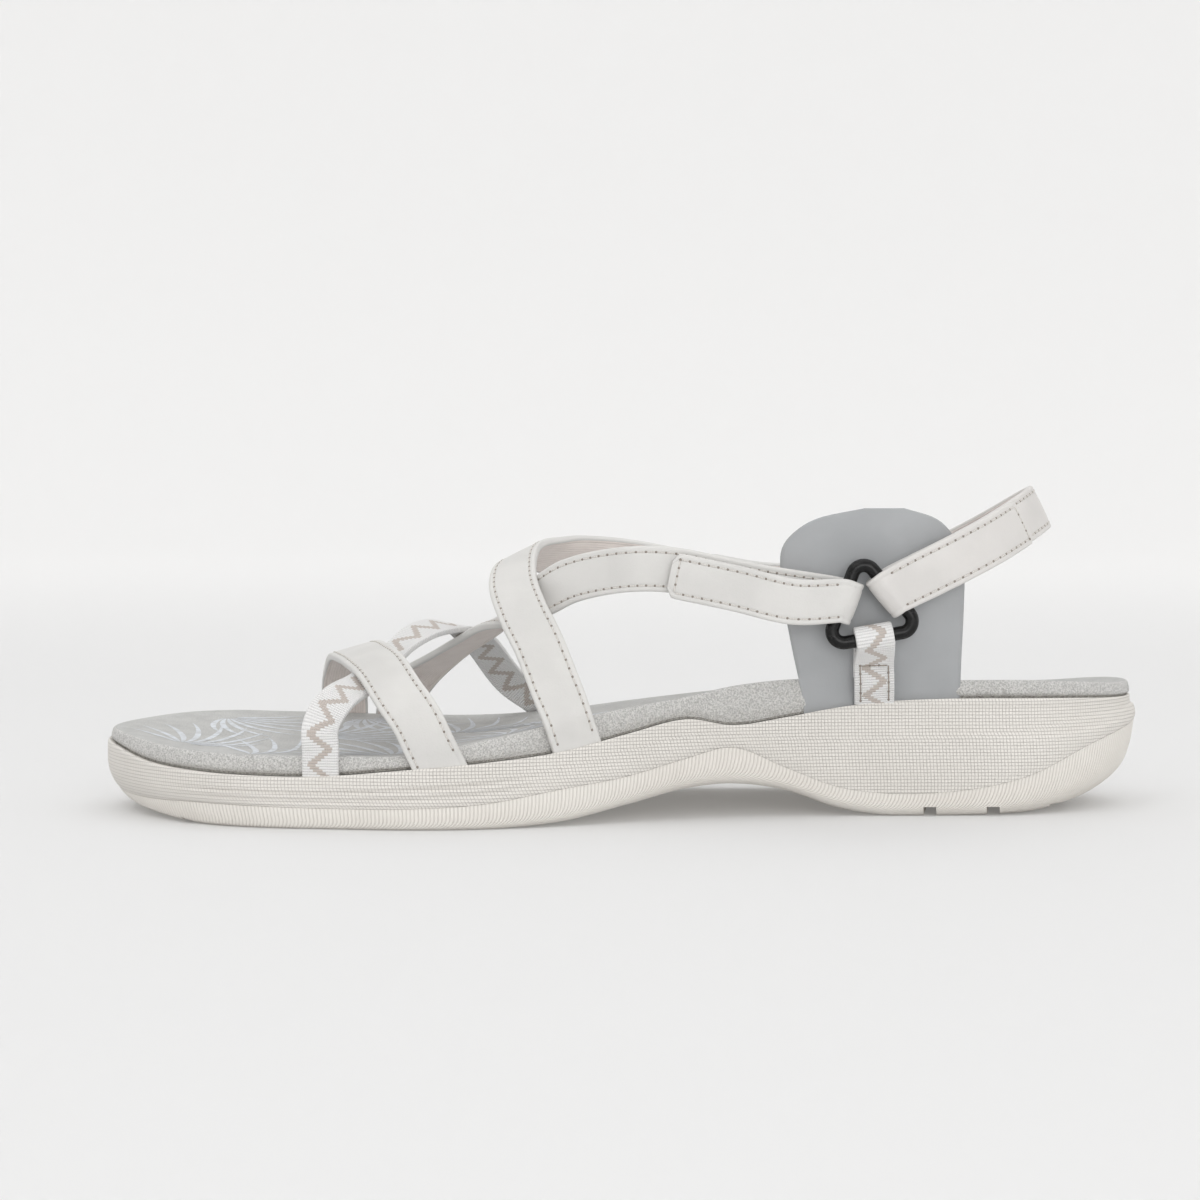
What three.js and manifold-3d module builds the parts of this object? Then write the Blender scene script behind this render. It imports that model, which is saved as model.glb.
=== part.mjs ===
// A right-foot hiking sandal: lugged outsole, foam midsole, footbed, a strap upper, ankle pads, rings and
// a heel strap. Millimetres, +Z up. The toe points along -X, the inner side of the foot faces -Y, and the
// sole stands on Z = 0.
import * as THREE from "three";
import { mergeVertices } from "three/addons/utils/BufferGeometryUtils.js";
import Module from "manifold-3d";

const wasm = await Module();
wasm.setup();

// Driving dimensions of the sole
const LENGTH = 267;
const BALL_WIDTH = 94;
const HEEL_STACK = 30;
const TOE_ROUND = 50;
const HEEL_ROUND = 38;
const AXIS_TOE = 0.01;
const AXIS_HEEL = 0.115;
const TREAD_DEPTH = 2.3;
const TREAD_CHANNEL = 3.2;
const HEEL_STEP = 0.8;
const SIDE_GROOVE = 0.5;
const RIM_LEDGE = 2.9;
const BED_LEDGE = 3.4;
const RIM_LIP = 0.4;
const TOE_LEDGE = 1.2;
const HEEL_LEDGE = 1.8;
const BED_ROUND = 1.2;
const HEEL_CUP = 5;
const TOE_DISH = 0.22;
const BALL_PLACE = 0.35;
const HEEL_PLACE = 0.8;

// Driving dimensions of the straps
const INSTEP_HEIGHT = 64;
const STRAP_WIDTH = 12.5;
const CROSS_STRAP_WIDTH = 11.3;
const STRAP_WALL = 2;
const TOE_WEBBING_WIDTH = 9;
const WEBBING_WIDTH = 10;
const WEBBING_WALL = 1.6;
const STRAP_TUCK = 5;
const BAR_TAPER = 0.84;
const HEEL_STRAP_WIDTH = 12;
const HEEL_STRAP_RISE = 77;
const HEEL_STRAP_BACK = 0.901 * LENGTH;

// Driving dimensions of the ankle pads and rings
const ANKLE_HEIGHT = 52.4;
const ANKLE_SPAN = 0.697 * BALL_WIDTH;
const ANKLE_SHIFT = 0.055 * BALL_WIDTH;
const PAD_FRONT = 0.644 * LENGTH;
const PAD_WIDTH = 46.5;
const PAD_TOP = 77.4;
const OUTER_PAD_DROP = 4;
const OUTER_PAD_BACK = 6;
const PAD_WALL = 4.5;
const PAD_FOOT_WALL = 2;
const PAD_FRONT_CURL = 2;
const PAD_BACK_CURL = 4.6;
const PAD_LEAN_RISE = 22;
const LOOP_PLACE = 0.733 * LENGTH;
const LOOP_SLACK = 0.2;
const LOOP_TURN = 225;
const RING_SIDE = 14.2;
const RING_CORNER = 2.9;
const RING_BAR = 2.9;
const RING_PLACE = 0.725 * LENGTH;
const RING_LEAN = 10;
const RING_ANGLES = [90 + RING_LEAN, 210 + RING_LEAN, 330 + RING_LEAN];

// Clearance that touching pieces keep
const FIT_GAP = 0.3;

// Number of stations along the sole, of steps between two knots of a strap, and of sides of a round bar
const STATIONS = 39;
const STRAP_STEPS = 4;
const BAR_SIDES = 10;
const BAR_TURN = 45;
const PAD_ROWS = 12;
const PAD_COLUMNS = 10;

const MEDIAL = -1;
const LATERAL = 1;

// Half widths on each side of the sole's long axis, as shares of the ball width; "at" is a share of the
// length.
const OUTLINE = [
  { at: 0.0, medial: 0.36, lateral: 0.44 },
  { at: 0.05, medial: 0.43, lateral: 0.46 },
  { at: 0.1, medial: 0.465, lateral: 0.45 },
  { at: 0.2, medial: 0.495, lateral: 0.443 },
  { at: 0.3, medial: 0.537, lateral: 0.452 },
  { at: 0.37, medial: 0.53, lateral: 0.445 },
  { at: 0.44, medial: 0.483, lateral: 0.408 },
  { at: 0.5, medial: 0.425, lateral: 0.37 },
  { at: 0.56, medial: 0.38, lateral: 0.345 },
  { at: 0.62, medial: 0.343, lateral: 0.334 },
  { at: 0.7, medial: 0.315, lateral: 0.332 },
  { at: 0.8, medial: 0.316, lateral: 0.338 },
  { at: 0.9, medial: 0.322, lateral: 0.333 },
  { at: 1.0, medial: 0.31, lateral: 0.32 },
];

// Heights of each layer's edge on the inner and on the outer side, as shares of the heel stack.
const INNER_LEVELS = [
  { at: 0.0, tread: 0.13, split: 0.18, rim: 0.6, bed: 0.7 },
  { at: 0.05, tread: 0.06, split: 0.175, rim: 0.48, bed: 0.63 },
  { at: 0.1, tread: 0.01, split: 0.19, rim: 0.445, bed: 0.597 },
  { at: 0.15, tread: 0, split: 0.185, rim: 0.433, bed: 0.587 },
  { at: 0.22, tread: 0, split: 0.173, rim: 0.433, bed: 0.587 },
  { at: 0.3, tread: 0, split: 0.177, rim: 0.493, bed: 0.6 },
  { at: 0.37, tread: 0, split: 0.21, rim: 0.545, bed: 0.715 },
  { at: 0.44, tread: 0.04, split: 0.31, rim: 0.617, bed: 0.845 },
  { at: 0.5, tread: 0.15, split: 0.39, rim: 0.74, bed: 0.945 },
  { at: 0.555, tread: 0.265, split: 0.52, rim: 0.847, bed: 1.02 },
  { at: 0.6, tread: 0.293, split: 0.6, rim: 0.787, bed: 1.1 },
  { at: 0.65, tread: 0.225, split: 0.42, rim: 0.845, bed: 1.145 },
  { at: 0.7, tread: 0.07, split: 0.25, rim: 0.92, bed: 1.145 },
  { at: 0.75, tread: 0, split: 0.193, rim: 0.97, bed: 1.133 },
  { at: 0.82, tread: 0, split: 0.22, rim: 0.99, bed: 1.133 },
  { at: 0.88, tread: 0, split: 0.34, rim: 0.99, bed: 1.133 },
  { at: 0.94, tread: 0.07, split: 0.58, rim: 0.983, bed: 1.115 },
  { at: 1.0, tread: 0.2, split: 0.75, rim: 0.95, bed: 1.07 },
];
const OUTER_LEVELS = [
  { at: 0.0, tread: 0.13, split: 0.18, rim: 0.6, bed: 0.7 },
  { at: 0.05, tread: 0.06, split: 0.175, rim: 0.57, bed: 0.73 },
  { at: 0.1, tread: 0.01, split: 0.18, rim: 0.55, bed: 0.72 },
  { at: 0.15, tread: 0, split: 0.18, rim: 0.53, bed: 0.69 },
  { at: 0.22, tread: 0, split: 0.175, rim: 0.51, bed: 0.665 },
  { at: 0.3, tread: 0, split: 0.175, rim: 0.5, bed: 0.643 },
  { at: 0.37, tread: 0, split: 0.19, rim: 0.51, bed: 0.65 },
  { at: 0.44, tread: 0.02, split: 0.26, rim: 0.56, bed: 0.71 },
  { at: 0.5, tread: 0.07, split: 0.32, rim: 0.63, bed: 0.79 },
  { at: 0.555, tread: 0.12, split: 0.4, rim: 0.7, bed: 0.855 },
  { at: 0.6, tread: 0.13, split: 0.43, rim: 0.74, bed: 0.9 },
  { at: 0.65, tread: 0.1, split: 0.36, rim: 0.78, bed: 0.94 },
  { at: 0.7, tread: 0.03, split: 0.25, rim: 0.81, bed: 0.97 },
  { at: 0.75, tread: 0, split: 0.2, rim: 0.84, bed: 0.98 },
  { at: 0.82, tread: 0, split: 0.22, rim: 0.85, bed: 0.97 },
  { at: 0.88, tread: 0, split: 0.33, rim: 0.86, bed: 0.97 },
  { at: 0.94, tread: 0.07, split: 0.56, rim: 0.88, bed: 0.99 },
  { at: 1.0, tread: 0.2, split: 0.75, rim: 0.95, bed: 1.07 },
];

// Routes of the straps. "along" is a share of the length from the toe, "across" a share of the ball width,
// "up" a share of the instep height, and "turn" the way the band faces: 0 is to -Y, 90 up, 180 to +Y. "tip"
// leans the band towards the toe. Both are in degrees.
const FRONT_STRAP = [
  { along: 0.309, across: -0.447, up: 0.416, turn: 12, tip: 0 },
  { along: 0.292, across: -0.396, up: 0.503, turn: 30, tip: 4 },
  { along: 0.274, across: -0.298, up: 0.59, turn: 48, tip: 10 },
  { along: 0.255, across: -0.138, up: 0.622, turn: 72, tip: 16 },
  { along: 0.242, across: 0.021, up: 0.622, turn: 90, tip: 20 },
  { along: 0.228, across: 0.213, up: 0.595, turn: 112, tip: 16 },
  { along: 0.219, across: 0.351, up: 0.505, turn: 140, tip: 8 },
  { along: 0.214, across: 0.43, up: 0.42, turn: 165, tip: 0 },
];
const TOE_WEBBING = [
  { along: 0.231, across: -0.435, up: 0.38, turn: 12, tip: 0 },
  { along: 0.246, across: -0.37, up: 0.51, turn: 35, tip: 0 },
  { along: 0.266, across: -0.223, up: 0.597, turn: 58, tip: 0 },
  { along: 0.286, across: -0.09, up: 0.672, turn: 75, tip: 6 },
  { along: 0.318, across: 0.053, up: 0.722, turn: 92, tip: 14 },
  { along: 0.345, across: 0.205, up: 0.683, turn: 118, tip: 10 },
  { along: 0.365, across: 0.325, up: 0.57, turn: 135, tip: 4 },
  { along: 0.384, across: 0.41, up: 0.45, turn: 155, tip: 0 },
];
const INSTEP_STRAP = [
  { along: 0.434, across: -0.372, up: 0.54, turn: 8, tip: 0 },
  { along: 0.419, across: -0.33, up: 0.69, turn: 20, tip: 4 },
  { along: 0.403, across: -0.25, up: 0.812, turn: 40, tip: 10 },
  { along: 0.391, across: -0.128, up: 0.922, turn: 62, tip: 18 },
  { along: 0.399, across: 0.032, up: 1.0, turn: 92, tip: 26 },
  { along: 0.437, across: 0.234, up: 0.99, turn: 135, tip: 14 },
  { along: 0.498, across: 0.33, up: 0.956, turn: 160, tip: 4 },
  { along: 0.58, across: 0.378, up: 0.9, turn: 172, tip: 0 },
  { along: 0.64, across: 0.385, up: 0.86, turn: 178, tip: 0 },
];
const CROSS_STRAP = [
  { along: 0.287, across: 0.39, up: 0.48, turn: 145, tip: 0 },
  { along: 0.321, across: 0.25, up: 0.61, turn: 122, tip: 6 },
  { along: 0.357, across: 0.085, up: 0.705, turn: 95, tip: 10 },
  { along: 0.378, across: -0.085, up: 0.77, turn: 62, tip: 8 },
  { along: 0.401, across: -0.213, up: 0.84, turn: 38, tip: 6 },
  { along: 0.423, across: -0.245, up: 0.892, turn: 25, tip: 4 },
  { along: 0.448, across: -0.266, up: 0.938, turn: 15, tip: 0 },
  { along: 0.498, across: -0.29, up: 0.983, turn: 5, tip: 0 },
  { along: 0.542, across: -0.298, up: 0.973, turn: 0, tip: 0 },
  { along: 0.61, across: -0.292, up: 0.915, turn: 0, tip: 0 },
];
const CROSS_TAB = [
  { along: 0.655, across: -0.333, up: 0.852, turn: 0, tip: 0 },
  { along: 0.6, across: -0.33, up: 0.905, turn: 0, tip: 0 },
  { along: 0.54, across: -0.327, up: 0.957, turn: 0, tip: 0 },
];

// Places where the straps leave the seam beside the footbed, as shares of the length.
const ANCHORS = {
  front: { inner: 0.331, outer: 0.213 },
  toe: { inner: 0.221, outer: 0.418 },
  instep: { inner: 0.454 },
  cross: { outer: 0.266 },
};

// The heel strap's way round the heel: "back" is a share of the way from the ring to the heel, "out" a
// share of half the span between the rings.
const HEEL_STRAP = [
  { back: 0.2, out: 0.935 },
  { back: 0.4, out: 0.9 },
  { back: 0.6, out: 0.78 },
  { back: 0.8, out: 0.47 },
  { back: 0.95, out: 0.17 },
  { back: 1.0, out: 0 },
];
const TAB_KNOTS = 4;

// Shares of the pad's height and width that its edges pass through, from the footbed to the dome.
const PAD_EDGE = [
  { up: 0.0, front: 0.13, back: 0.98 },
  { up: 0.25, front: 0.07, back: 0.99 },
  { up: 0.5, front: 0.02, back: 1.0 },
  { up: 0.68, front: 0.0, back: 1.0 },
  { up: 0.8, front: 0.01, back: 0.97 },
  { up: 0.89, front: 0.09, back: 0.91 },
  { up: 0.955, front: 0.22, back: 0.82 },
  { up: 1.0, front: 0.45, back: 0.66 },
];

// How far the footbed and the foam under it are dished, by the distance in from the footbed's edge.
const BED_DISH = [
  { inset: 5, drop: 0.25 },
  { inset: 11, drop: 0.7 },
  { inset: 19, drop: 1 },
];

// Tread channels in chevrons: from and to are shares of the length, reach is a share of the ball width.
// A channel's middle lies CHANNEL_MIDDLE of its reach out from the sole's long axis.
const CHANNEL_MIDDLE = 0.48;
const TREAD_ZONES = [
  { from: 0.13, to: 0.4, count: 7, reach: 0.38, slant: 16 },
  { from: 0.805, to: 0.925, count: 3, reach: 0.6, slant: 10 },
];

const radians = THREE.MathUtils.degToRad;
const clamp = THREE.MathUtils.clamp;
const toeX = -LENGTH / 2;

// A smooth curve through one column of a table, as a function of the key column.
function curve(table, key, column) {
  const slope = (i) => {
    const a = table[Math.max(i - 1, 0)];
    const b = table[Math.min(i + 1, table.length - 1)];
    return (b[column] - a[column]) / (b[key] - a[key]);
  };
  return (value) => {
    const at = clamp(value, table[0][key], table[table.length - 1][key]);
    let i = 0;
    while (i < table.length - 2 && at > table[i + 1][key]) i += 1;
    const span = table[i + 1][key] - table[i][key];
    const t = (at - table[i][key]) / span;
    const start = table[i][column] * (2 * t ** 3 - 3 * t ** 2 + 1);
    const end = table[i + 1][column] * (3 * t ** 2 - 2 * t ** 3);
    const startSlope = slope(i) * span * (t ** 3 - 2 * t ** 2 + t);
    const endSlope = slope(i + 1) * span * (t ** 3 - t ** 2);
    return start + end + startSlope + endSlope;
  };
}

const halfWidth = {
  [MEDIAL]: curve(OUTLINE, "at", "medial"),
  [LATERAL]: curve(OUTLINE, "at", "lateral"),
};
const level = {};
for (const name of ["tread", "split", "rim", "bed"]) {
  level[name] = { [MEDIAL]: curve(INNER_LEVELS, "at", name), [LATERAL]: curve(OUTER_LEVELS, "at", name) };
}

// Height of a layer's edge at a share of the length; the tread never goes under the floor.
function heightOf(name, at, side) {
  return Math.max(0, level[name][side](at)) * HEEL_STACK;
}

// The sole's long axis leans outwards towards the heel, as the last does.
function axisY(at) {
  return BALL_WIDTH * THREE.MathUtils.lerp(AXIS_TOE, AXIS_HEEL, at);
}

// The quarter ellipse that rounds off an end of the sole, 0 at the tip and 1 from the named length on.
function endRound(distance, round) {
  const share = clamp(1 - distance / round, 0, 1);
  return Math.sqrt(1 - share ** 2);
}

// The edge of the sole at x, on one side, drawn in by inset on that side and by the ring's own ends.
function edgeY(x, side, inset = 0, toeInset = inset, heelInset = inset) {
  const at = (x - toeX) / LENGTH;
  const fromToe = x - toeX - toeInset;
  const fromHeel = LENGTH - heelInset - (x - toeX);
  const rounding = endRound(fromToe, TOE_ROUND) * endRound(fromHeel, HEEL_ROUND);
  return axisY(at) + side * (halfWidth[side](at) * BALL_WIDTH - inset) * rounding;
}

// One closed ring round the sole: toe tip, inner side, heel end, outer side. Towards its tips the heights
// of the two sides run into each other.
function soleRing({ toe, side, heel }, height) {
  const insetAt = typeof side === "function" ? side : () => side;
  const at = (x) => (x - toeX) / LENGTH;
  const middle = (x) => (height(at(x), MEDIAL) + height(at(x), LATERAL)) / 2;
  const spot = (k, edge) => {
    const run = (1 - Math.cos((Math.PI * k) / STATIONS)) / 2;
    const x = toeX + toe + run * (LENGTH - toe - heel);
    const y = edgeY(x, edge, insetAt(at(x)), toe, heel);
    const away = endRound(x - toeX - toe, TOE_ROUND) * endRound(toeX + LENGTH - heel - x, HEEL_ROUND);
    return new THREE.Vector3(x, y, THREE.MathUtils.lerp(middle(x), height(at(x), edge), away));
  };
  const inner = Array.from({ length: STATIONS + 1 }, (_, k) => spot(k, MEDIAL));
  const outer = Array.from({ length: STATIONS - 1 }, (_, k) => spot(STATIONS - 1 - k, LATERAL));
  return [...inner, ...outer];
}

// A geometry from points and triangles.
function meshOf(points, faces) {
  const geometry = new THREE.BufferGeometry();
  const flat = new Float32Array(points.flatMap((p) => [p.x, p.y, p.z]));
  geometry.setAttribute("position", new THREE.BufferAttribute(flat, 3));
  geometry.setIndex(faces.flat());
  return geometry;
}

// A closed solid through rings of equally many points, closed at both ends by the triangles that cap lists.
function stack(rings, cap, closed = false) {
  const around = rings[0].length;
  const faces = [];
  const steps = closed ? rings.length : rings.length - 1;
  for (let r = 0; r < steps; r += 1) {
    const above = (r + 1) % rings.length;
    for (let i = 0; i < around; i += 1) {
      const j = (i + 1) % around;
      const [a, b, c, d] = [r * around + i, r * around + j, above * around + j, above * around + i];
      faces.push([a, b, c], [a, c, d]);
    }
  }
  const last = (rings.length - 1) * around;
  if (!closed) {
    for (const [a, b, c] of cap) faces.push([a, c, b], [last + a, last + b, last + c]);
  }
  return meshOf(rings.flat(), faces);
}

// Cap of a ring that starts and ends in single tips, by strips across it.
function stripCap(around) {
  const half = around / 2;
  const faces = [];
  for (let k = 0; k < half; k += 1) {
    const [near, nextNear, far, nextFar] = [k, k + 1, (around - k) % around, around - k - 1];
    if (k > 0) faces.push([near, nextNear, far]);
    if (k < half - 1) faces.push([nextNear, nextFar, far]);
  }
  return faces;
}

// Cap of a ring with two long walls, of as many points each.
function wallCap(around) {
  const faces = [];
  for (let k = 0; k + 1 < around / 2; k += 1) {
    const [near, nextNear, far, nextFar] = [k, k + 1, around - 1 - k, around - 2 - k];
    faces.push([near, nextNear, far], [nextNear, nextFar, far]);
  }
  return faces;
}

const loft = (rings) => stack(rings, stripCap(2 * STATIONS));

// A closed solid swept through frames of point, outward normal and width direction.
function sweep(frames, section, closed = false) {
  const rings = frames.map((frame) =>
    section.map(([wide, out]) =>
      frame.point.clone().addScaledVector(frame.width, wide).addScaledVector(frame.normal, out),
    ),
  );
  return stack(rings, wallCap(section.length), closed);
}

// A three.js geometry as a solid, turned face out if its section ran the other way.
function solid(geometry) {
  const bare = geometry.clone();
  bare.deleteAttribute("normal");
  bare.deleteAttribute("uv");
  const merged = mergeVertices(bare, 1e-4);
  const triVerts = new Uint32Array(merged.index.array);
  const vertProperties = new Float32Array(merged.attributes.position.array);
  const made = new wasm.Manifold(new wasm.Mesh({ numProp: 3, vertProperties, triVerts }));
  if (made.volume() > 0) return made;
  for (let i = 0; i < triVerts.length; i += 3) {
    [triVerts[i + 1], triVerts[i + 2]] = [triVerts[i + 2], triVerts[i + 1]];
  }
  return new wasm.Manifold(new wasm.Mesh({ numProp: 3, vertProperties, triVerts }));
}

function geometryOf(manifold) {
  const mesh = manifold.getMesh();
  const geometry = new THREE.BufferGeometry();
  geometry.setAttribute("position", new THREE.BufferAttribute(new Float32Array(mesh.vertProperties), 3));
  geometry.setIndex(new THREE.BufferAttribute(new Uint32Array(mesh.triVerts), 1));
  return geometry;
}

const joined = (solids) => solids.reduce((whole, next) => whole.add(next));

// What is left of a body after its cuts, without the slivers that a cut along its edge frees.
function cutBy(body, cutters) {
  const rest = cutters.reduce((left, cutter) => left.subtract(cutter), body);
  return rest.decompose().sort((a, b) => b.volume() - a.volume())[0];
}

const inShoe = (along, across, up) =>
  new THREE.Vector3(toeX + along * LENGTH, across * BALL_WIDTH, up * INSTEP_HEIGHT);
function facing(turn, tip) {
  const flat = Math.cos(radians(tip));
  const [inwards, up] = [Math.cos(radians(turn)), Math.sin(radians(turn))];
  return new THREE.Vector3(-Math.sin(radians(tip)), -inwards * flat, up * flat);
}

// Knots of a strap from its table.
function laid(rows) {
  return rows.map(({ along, across, up, turn, tip }) => ({
    point: inShoe(along, across, up),
    normal: facing(turn, tip),
  }));
}

// The way out of the sole, square to its edge.
function outOfEdge(x, side) {
  const step = 1;
  const rise = (edgeY(x + step, side) - edgeY(x - step, side)) / (2 * step);
  return new THREE.Vector3(-side * rise, side, 0).normalize();
}

// Knots where a strap leaves the seam between midsole and footbed, from below upwards.
function tucked(along, side, wall) {
  const x = toeX + along * LENGTH;
  const normal = outOfEdge(x, side);
  const inset = RIM_LEDGE - wall / 2;
  const foot = new THREE.Vector3(x, edgeY(x, side), 0).addScaledVector(normal, -inset);
  const low = heightOf("rim", along, side) - STRAP_TUCK;
  const high = heightOf("bed", along, side) + 1;
  return [low, (low + high) / 2, high].map((z) => ({ point: foot.clone().setZ(z), normal }));
}

// Frames along the smooth curve through the knots, with the width square to the curve and the normal.
function framesOf(knots) {
  const route = new THREE.CatmullRomCurve3(knots.map((k) => k.point), false, "centripetal");
  const steps = (knots.length - 1) * STRAP_STEPS;
  return Array.from({ length: steps + 1 }, (_, s) => {
    const t = s / steps;
    const i = Math.min(Math.floor(s / STRAP_STEPS), knots.length - 2);
    const tangent = route.getTangent(t);
    const normal = knots[i].normal.clone().lerp(knots[i + 1].normal, s / STRAP_STEPS - i);
    normal.addScaledVector(tangent, -normal.dot(tangent)).normalize();
    const taper = THREE.MathUtils.lerp(knots[i].taper ?? 1, knots[i + 1].taper ?? 1, s / STRAP_STEPS - i);
    return { point: route.getPoint(t), normal, width: tangent.clone().cross(normal).setLength(taper) };
  });
}

// A flat band through its knots. Grown, it is the room that the band needs in the pieces round it.
function band(knots, width, wall, grow = 0) {
  const [w, t] = [width / 2 + grow, wall / 2 + grow];
  const frames = framesOf(knots);
  for (const [end, inner] of [[0, 1], [frames.length - 1, frames.length - 2]]) {
    const out = frames[end].point.clone().sub(frames[inner].point).setLength(grow);
    if (grow > 0) frames[end].point.add(out);
  }
  return solid(sweep(frames, [[-w, -t], [w, -t], [w, t], [-w, t]]));
}

// Corners of a ring, in its own plane: the top one, the front one and the back one.
function ringCorners(side) {
  const centre = new THREE.Vector3(toeX + RING_PLACE, ANKLE_SHIFT + (side * ANKLE_SPAN) / 2, ANKLE_HEIGHT);
  const out = RING_SIDE / Math.sqrt(3);
  const corner = (angle) => {
    const away = new THREE.Vector3(Math.cos(radians(angle)), 0, Math.sin(radians(angle)));
    return centre.clone().addScaledVector(away, out);
  };
  const [top, front, back] = RING_ANGLES.map(corner);
  return { top, front, back, centre };
}

// One bar of a ring: its middle, and the way out of the ring across it.
function ringBar(side, from, to) {
  const corners = ringCorners(side);
  const middle = corners[from].clone().lerp(corners[to], 0.5);
  const out = middle.clone().sub(corners.centre).normalize();
  return { middle: middle.addScaledVector(out, RING_CORNER), out };
}

function ring(side) {
  const corners = ringCorners(side);
  const order = ["top", "front", "back"];
  const route = order.flatMap((name, c) =>
    [-60, -30, 0, 30, 60].map((bend) => {
      const angle = radians(RING_ANGLES[c] + bend);
      const out = new THREE.Vector3(Math.cos(angle), 0, Math.sin(angle));
      return { point: corners[name].clone().addScaledVector(out, RING_CORNER), normal: out };
    }),
  );
  const across = new THREE.Vector3(0, 1, 0);
  const frames = route.map((r) => ({ ...r, width: across }));
  const section = Array.from({ length: BAR_SIDES }, (_, i) => {
    const angle = (2 * Math.PI * i) / BAR_SIDES;
    return [(Math.cos(angle) * RING_BAR) / 2, (Math.sin(angle) * RING_BAR) / 2];
  });
  return solid(sweep(frames, section, true));
}

// Knots that take a band through a ring and round one bar, from the foot's side of the ring to the outside.
function roundBar(side, bar, wall, turn = 180) {
  const radius = RING_BAR / 2 + FIT_GAP + wall / 2;
  const outside = new THREE.Vector3(0, side, 0);
  const angles = Array.from({ length: turn / BAR_TURN + 1 }, (_, i) => i * BAR_TURN);
  return angles.map((angle) => {
    const radial = outside.clone().multiplyScalar(-Math.cos(radians(angle)));
    radial.addScaledVector(bar.out, -Math.sin(radians(angle)));
    const point = bar.middle.clone().addScaledVector(radial, radius);
    return { point, normal: radial.clone().negate(), taper: BAR_TAPER };
  });
}

// Knots in the other order, as they are or turned face about.
const backwards = (knots) => knots.slice().reverse();
const turnedOver = (knots) => knots.map((knot) => ({ ...knot, normal: knot.normal.clone().negate() }));

// The four straps of the upper.
function upperBands(grow = 0) {
  const frontBar = ringBar(MEDIAL, "top", "front");
  const farBar = ringBar(LATERAL, "top", "front");
  const front = [
    ...tucked(ANCHORS.front.inner, MEDIAL, STRAP_WALL),
    ...laid(FRONT_STRAP),
    ...backwards(tucked(ANCHORS.front.outer, LATERAL, STRAP_WALL)),
  ];
  const toe = [
    ...tucked(ANCHORS.toe.inner, MEDIAL, WEBBING_WALL),
    ...laid(TOE_WEBBING),
    ...backwards(tucked(ANCHORS.toe.outer, LATERAL, WEBBING_WALL)),
  ];
  const instep = [
    ...tucked(ANCHORS.instep.inner, MEDIAL, STRAP_WALL),
    ...laid(INSTEP_STRAP),
    ...roundBar(LATERAL, farBar, STRAP_WALL),
    ...sewnBack(backwards(laid(INSTEP_STRAP).slice(-2)), STRAP_WALL),
  ];
  const cross = [
    ...tucked(ANCHORS.cross.outer, LATERAL, STRAP_WALL),
    ...laid(CROSS_STRAP),
    ...roundBar(MEDIAL, frontBar, STRAP_WALL),
    ...turnedOver(laid(CROSS_TAB)),
  ];
  return [
    band(front, STRAP_WIDTH, STRAP_WALL, grow),
    band(toe, TOE_WEBBING_WIDTH, WEBBING_WALL, grow),
    band(instep, STRAP_WIDTH, STRAP_WALL, grow),
    band(cross, CROSS_STRAP_WIDTH, STRAP_WALL, grow),
  ];
}

// The short end of a band sewn down outside its own strap, after its turn round a bar.
function sewnBack(knots, wall) {
  return knots.map(({ point, normal }) => ({
    point: point.clone().addScaledVector(normal, wall + FIT_GAP),
    normal: normal.clone().negate(),
  }));
}

// The outer side's pad sits further back and lower, as the ankle bone does there.
const padStart = (side) => PAD_FRONT + (side === LATERAL ? OUTER_PAD_BACK : 0);
const padTop = (side) => PAD_TOP - (side === LATERAL ? OUTER_PAD_DROP : 0);

// The outer face of an ankle pad: it leaves the seam beside the footbed and leans out to the rings.
function padFace(x, z, side) {
  const base = heightOf("rim", (x - toeX) / LENGTH, side);
  const seam = edgeY(x, side) - side * (RIM_LIP + WEBBING_WALL + FIT_GAP + LOOP_SLACK);
  const ringInside = ANKLE_SPAN / 2 - (RING_BAR / 2 + 2 * FIT_GAP + STRAP_WALL);
  const along = clamp((x - toeX - padStart(side)) / PAD_WIDTH, 0, 1);
  const curl = (along > 0.5 ? PAD_BACK_CURL : PAD_FRONT_CURL) * (2 * along - 1) ** 2;
  const lean = THREE.MathUtils.smoothstep(z, base, base + PAD_LEAN_RISE);
  return THREE.MathUtils.lerp(seam, ANKLE_SHIFT + side * (ringInside - curl), lean);
}

const padFront = curve(PAD_EDGE, "up", "front");
const padBack = curve(PAD_EDGE, "up", "back");

// An ankle pad, thin where it is held in the seam and thick above it, with a domed top.
function anklePad(side, grow = 0) {
  const base = heightOf("rim", (padStart(side) + PAD_WIDTH / 2) / LENGTH, side);
  const rings = [];
  for (let row = -1; row <= PAD_ROWS; row += 1) {
    const up = Math.max(row, 0) / PAD_ROWS;
    const share = 1 - (1 - up) ** 1.5;
    const z = row < 0 ? base - STRAP_TUCK - grow : THREE.MathUtils.lerp(base, padTop(side), share);
    const front = padStart(side) + padFront(share) * PAD_WIDTH - grow;
    const back = padStart(side) + padBack(share) * PAD_WIDTH + grow;
    const wall = THREE.MathUtils.lerp(PAD_FOOT_WALL, PAD_WALL, THREE.MathUtils.smoothstep(share, 0.1, 0.3));
    const columns = Array.from({ length: PAD_COLUMNS + 1 }, (_, c) => c / PAD_COLUMNS);
    const at = (c, depth) => {
      const x = toeX + THREE.MathUtils.lerp(front, back, c);
      return new THREE.Vector3(x, padFace(x, z, side) - side * depth, z);
    };
    const soft = (c) => wall * (1 - 0.55 * Math.max(Math.abs(2 * c - 1), share) ** 8);
    rings.push([
      ...columns.map((c) => at(c, -grow + (wall - soft(c)) * 0.3)),
      ...columns.slice().reverse().map((c) => at(c, soft(c) + grow)),
    ]);
  }
  return solid(stack(rings, wallCap(2 * (PAD_COLUMNS + 1))));
}

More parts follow.
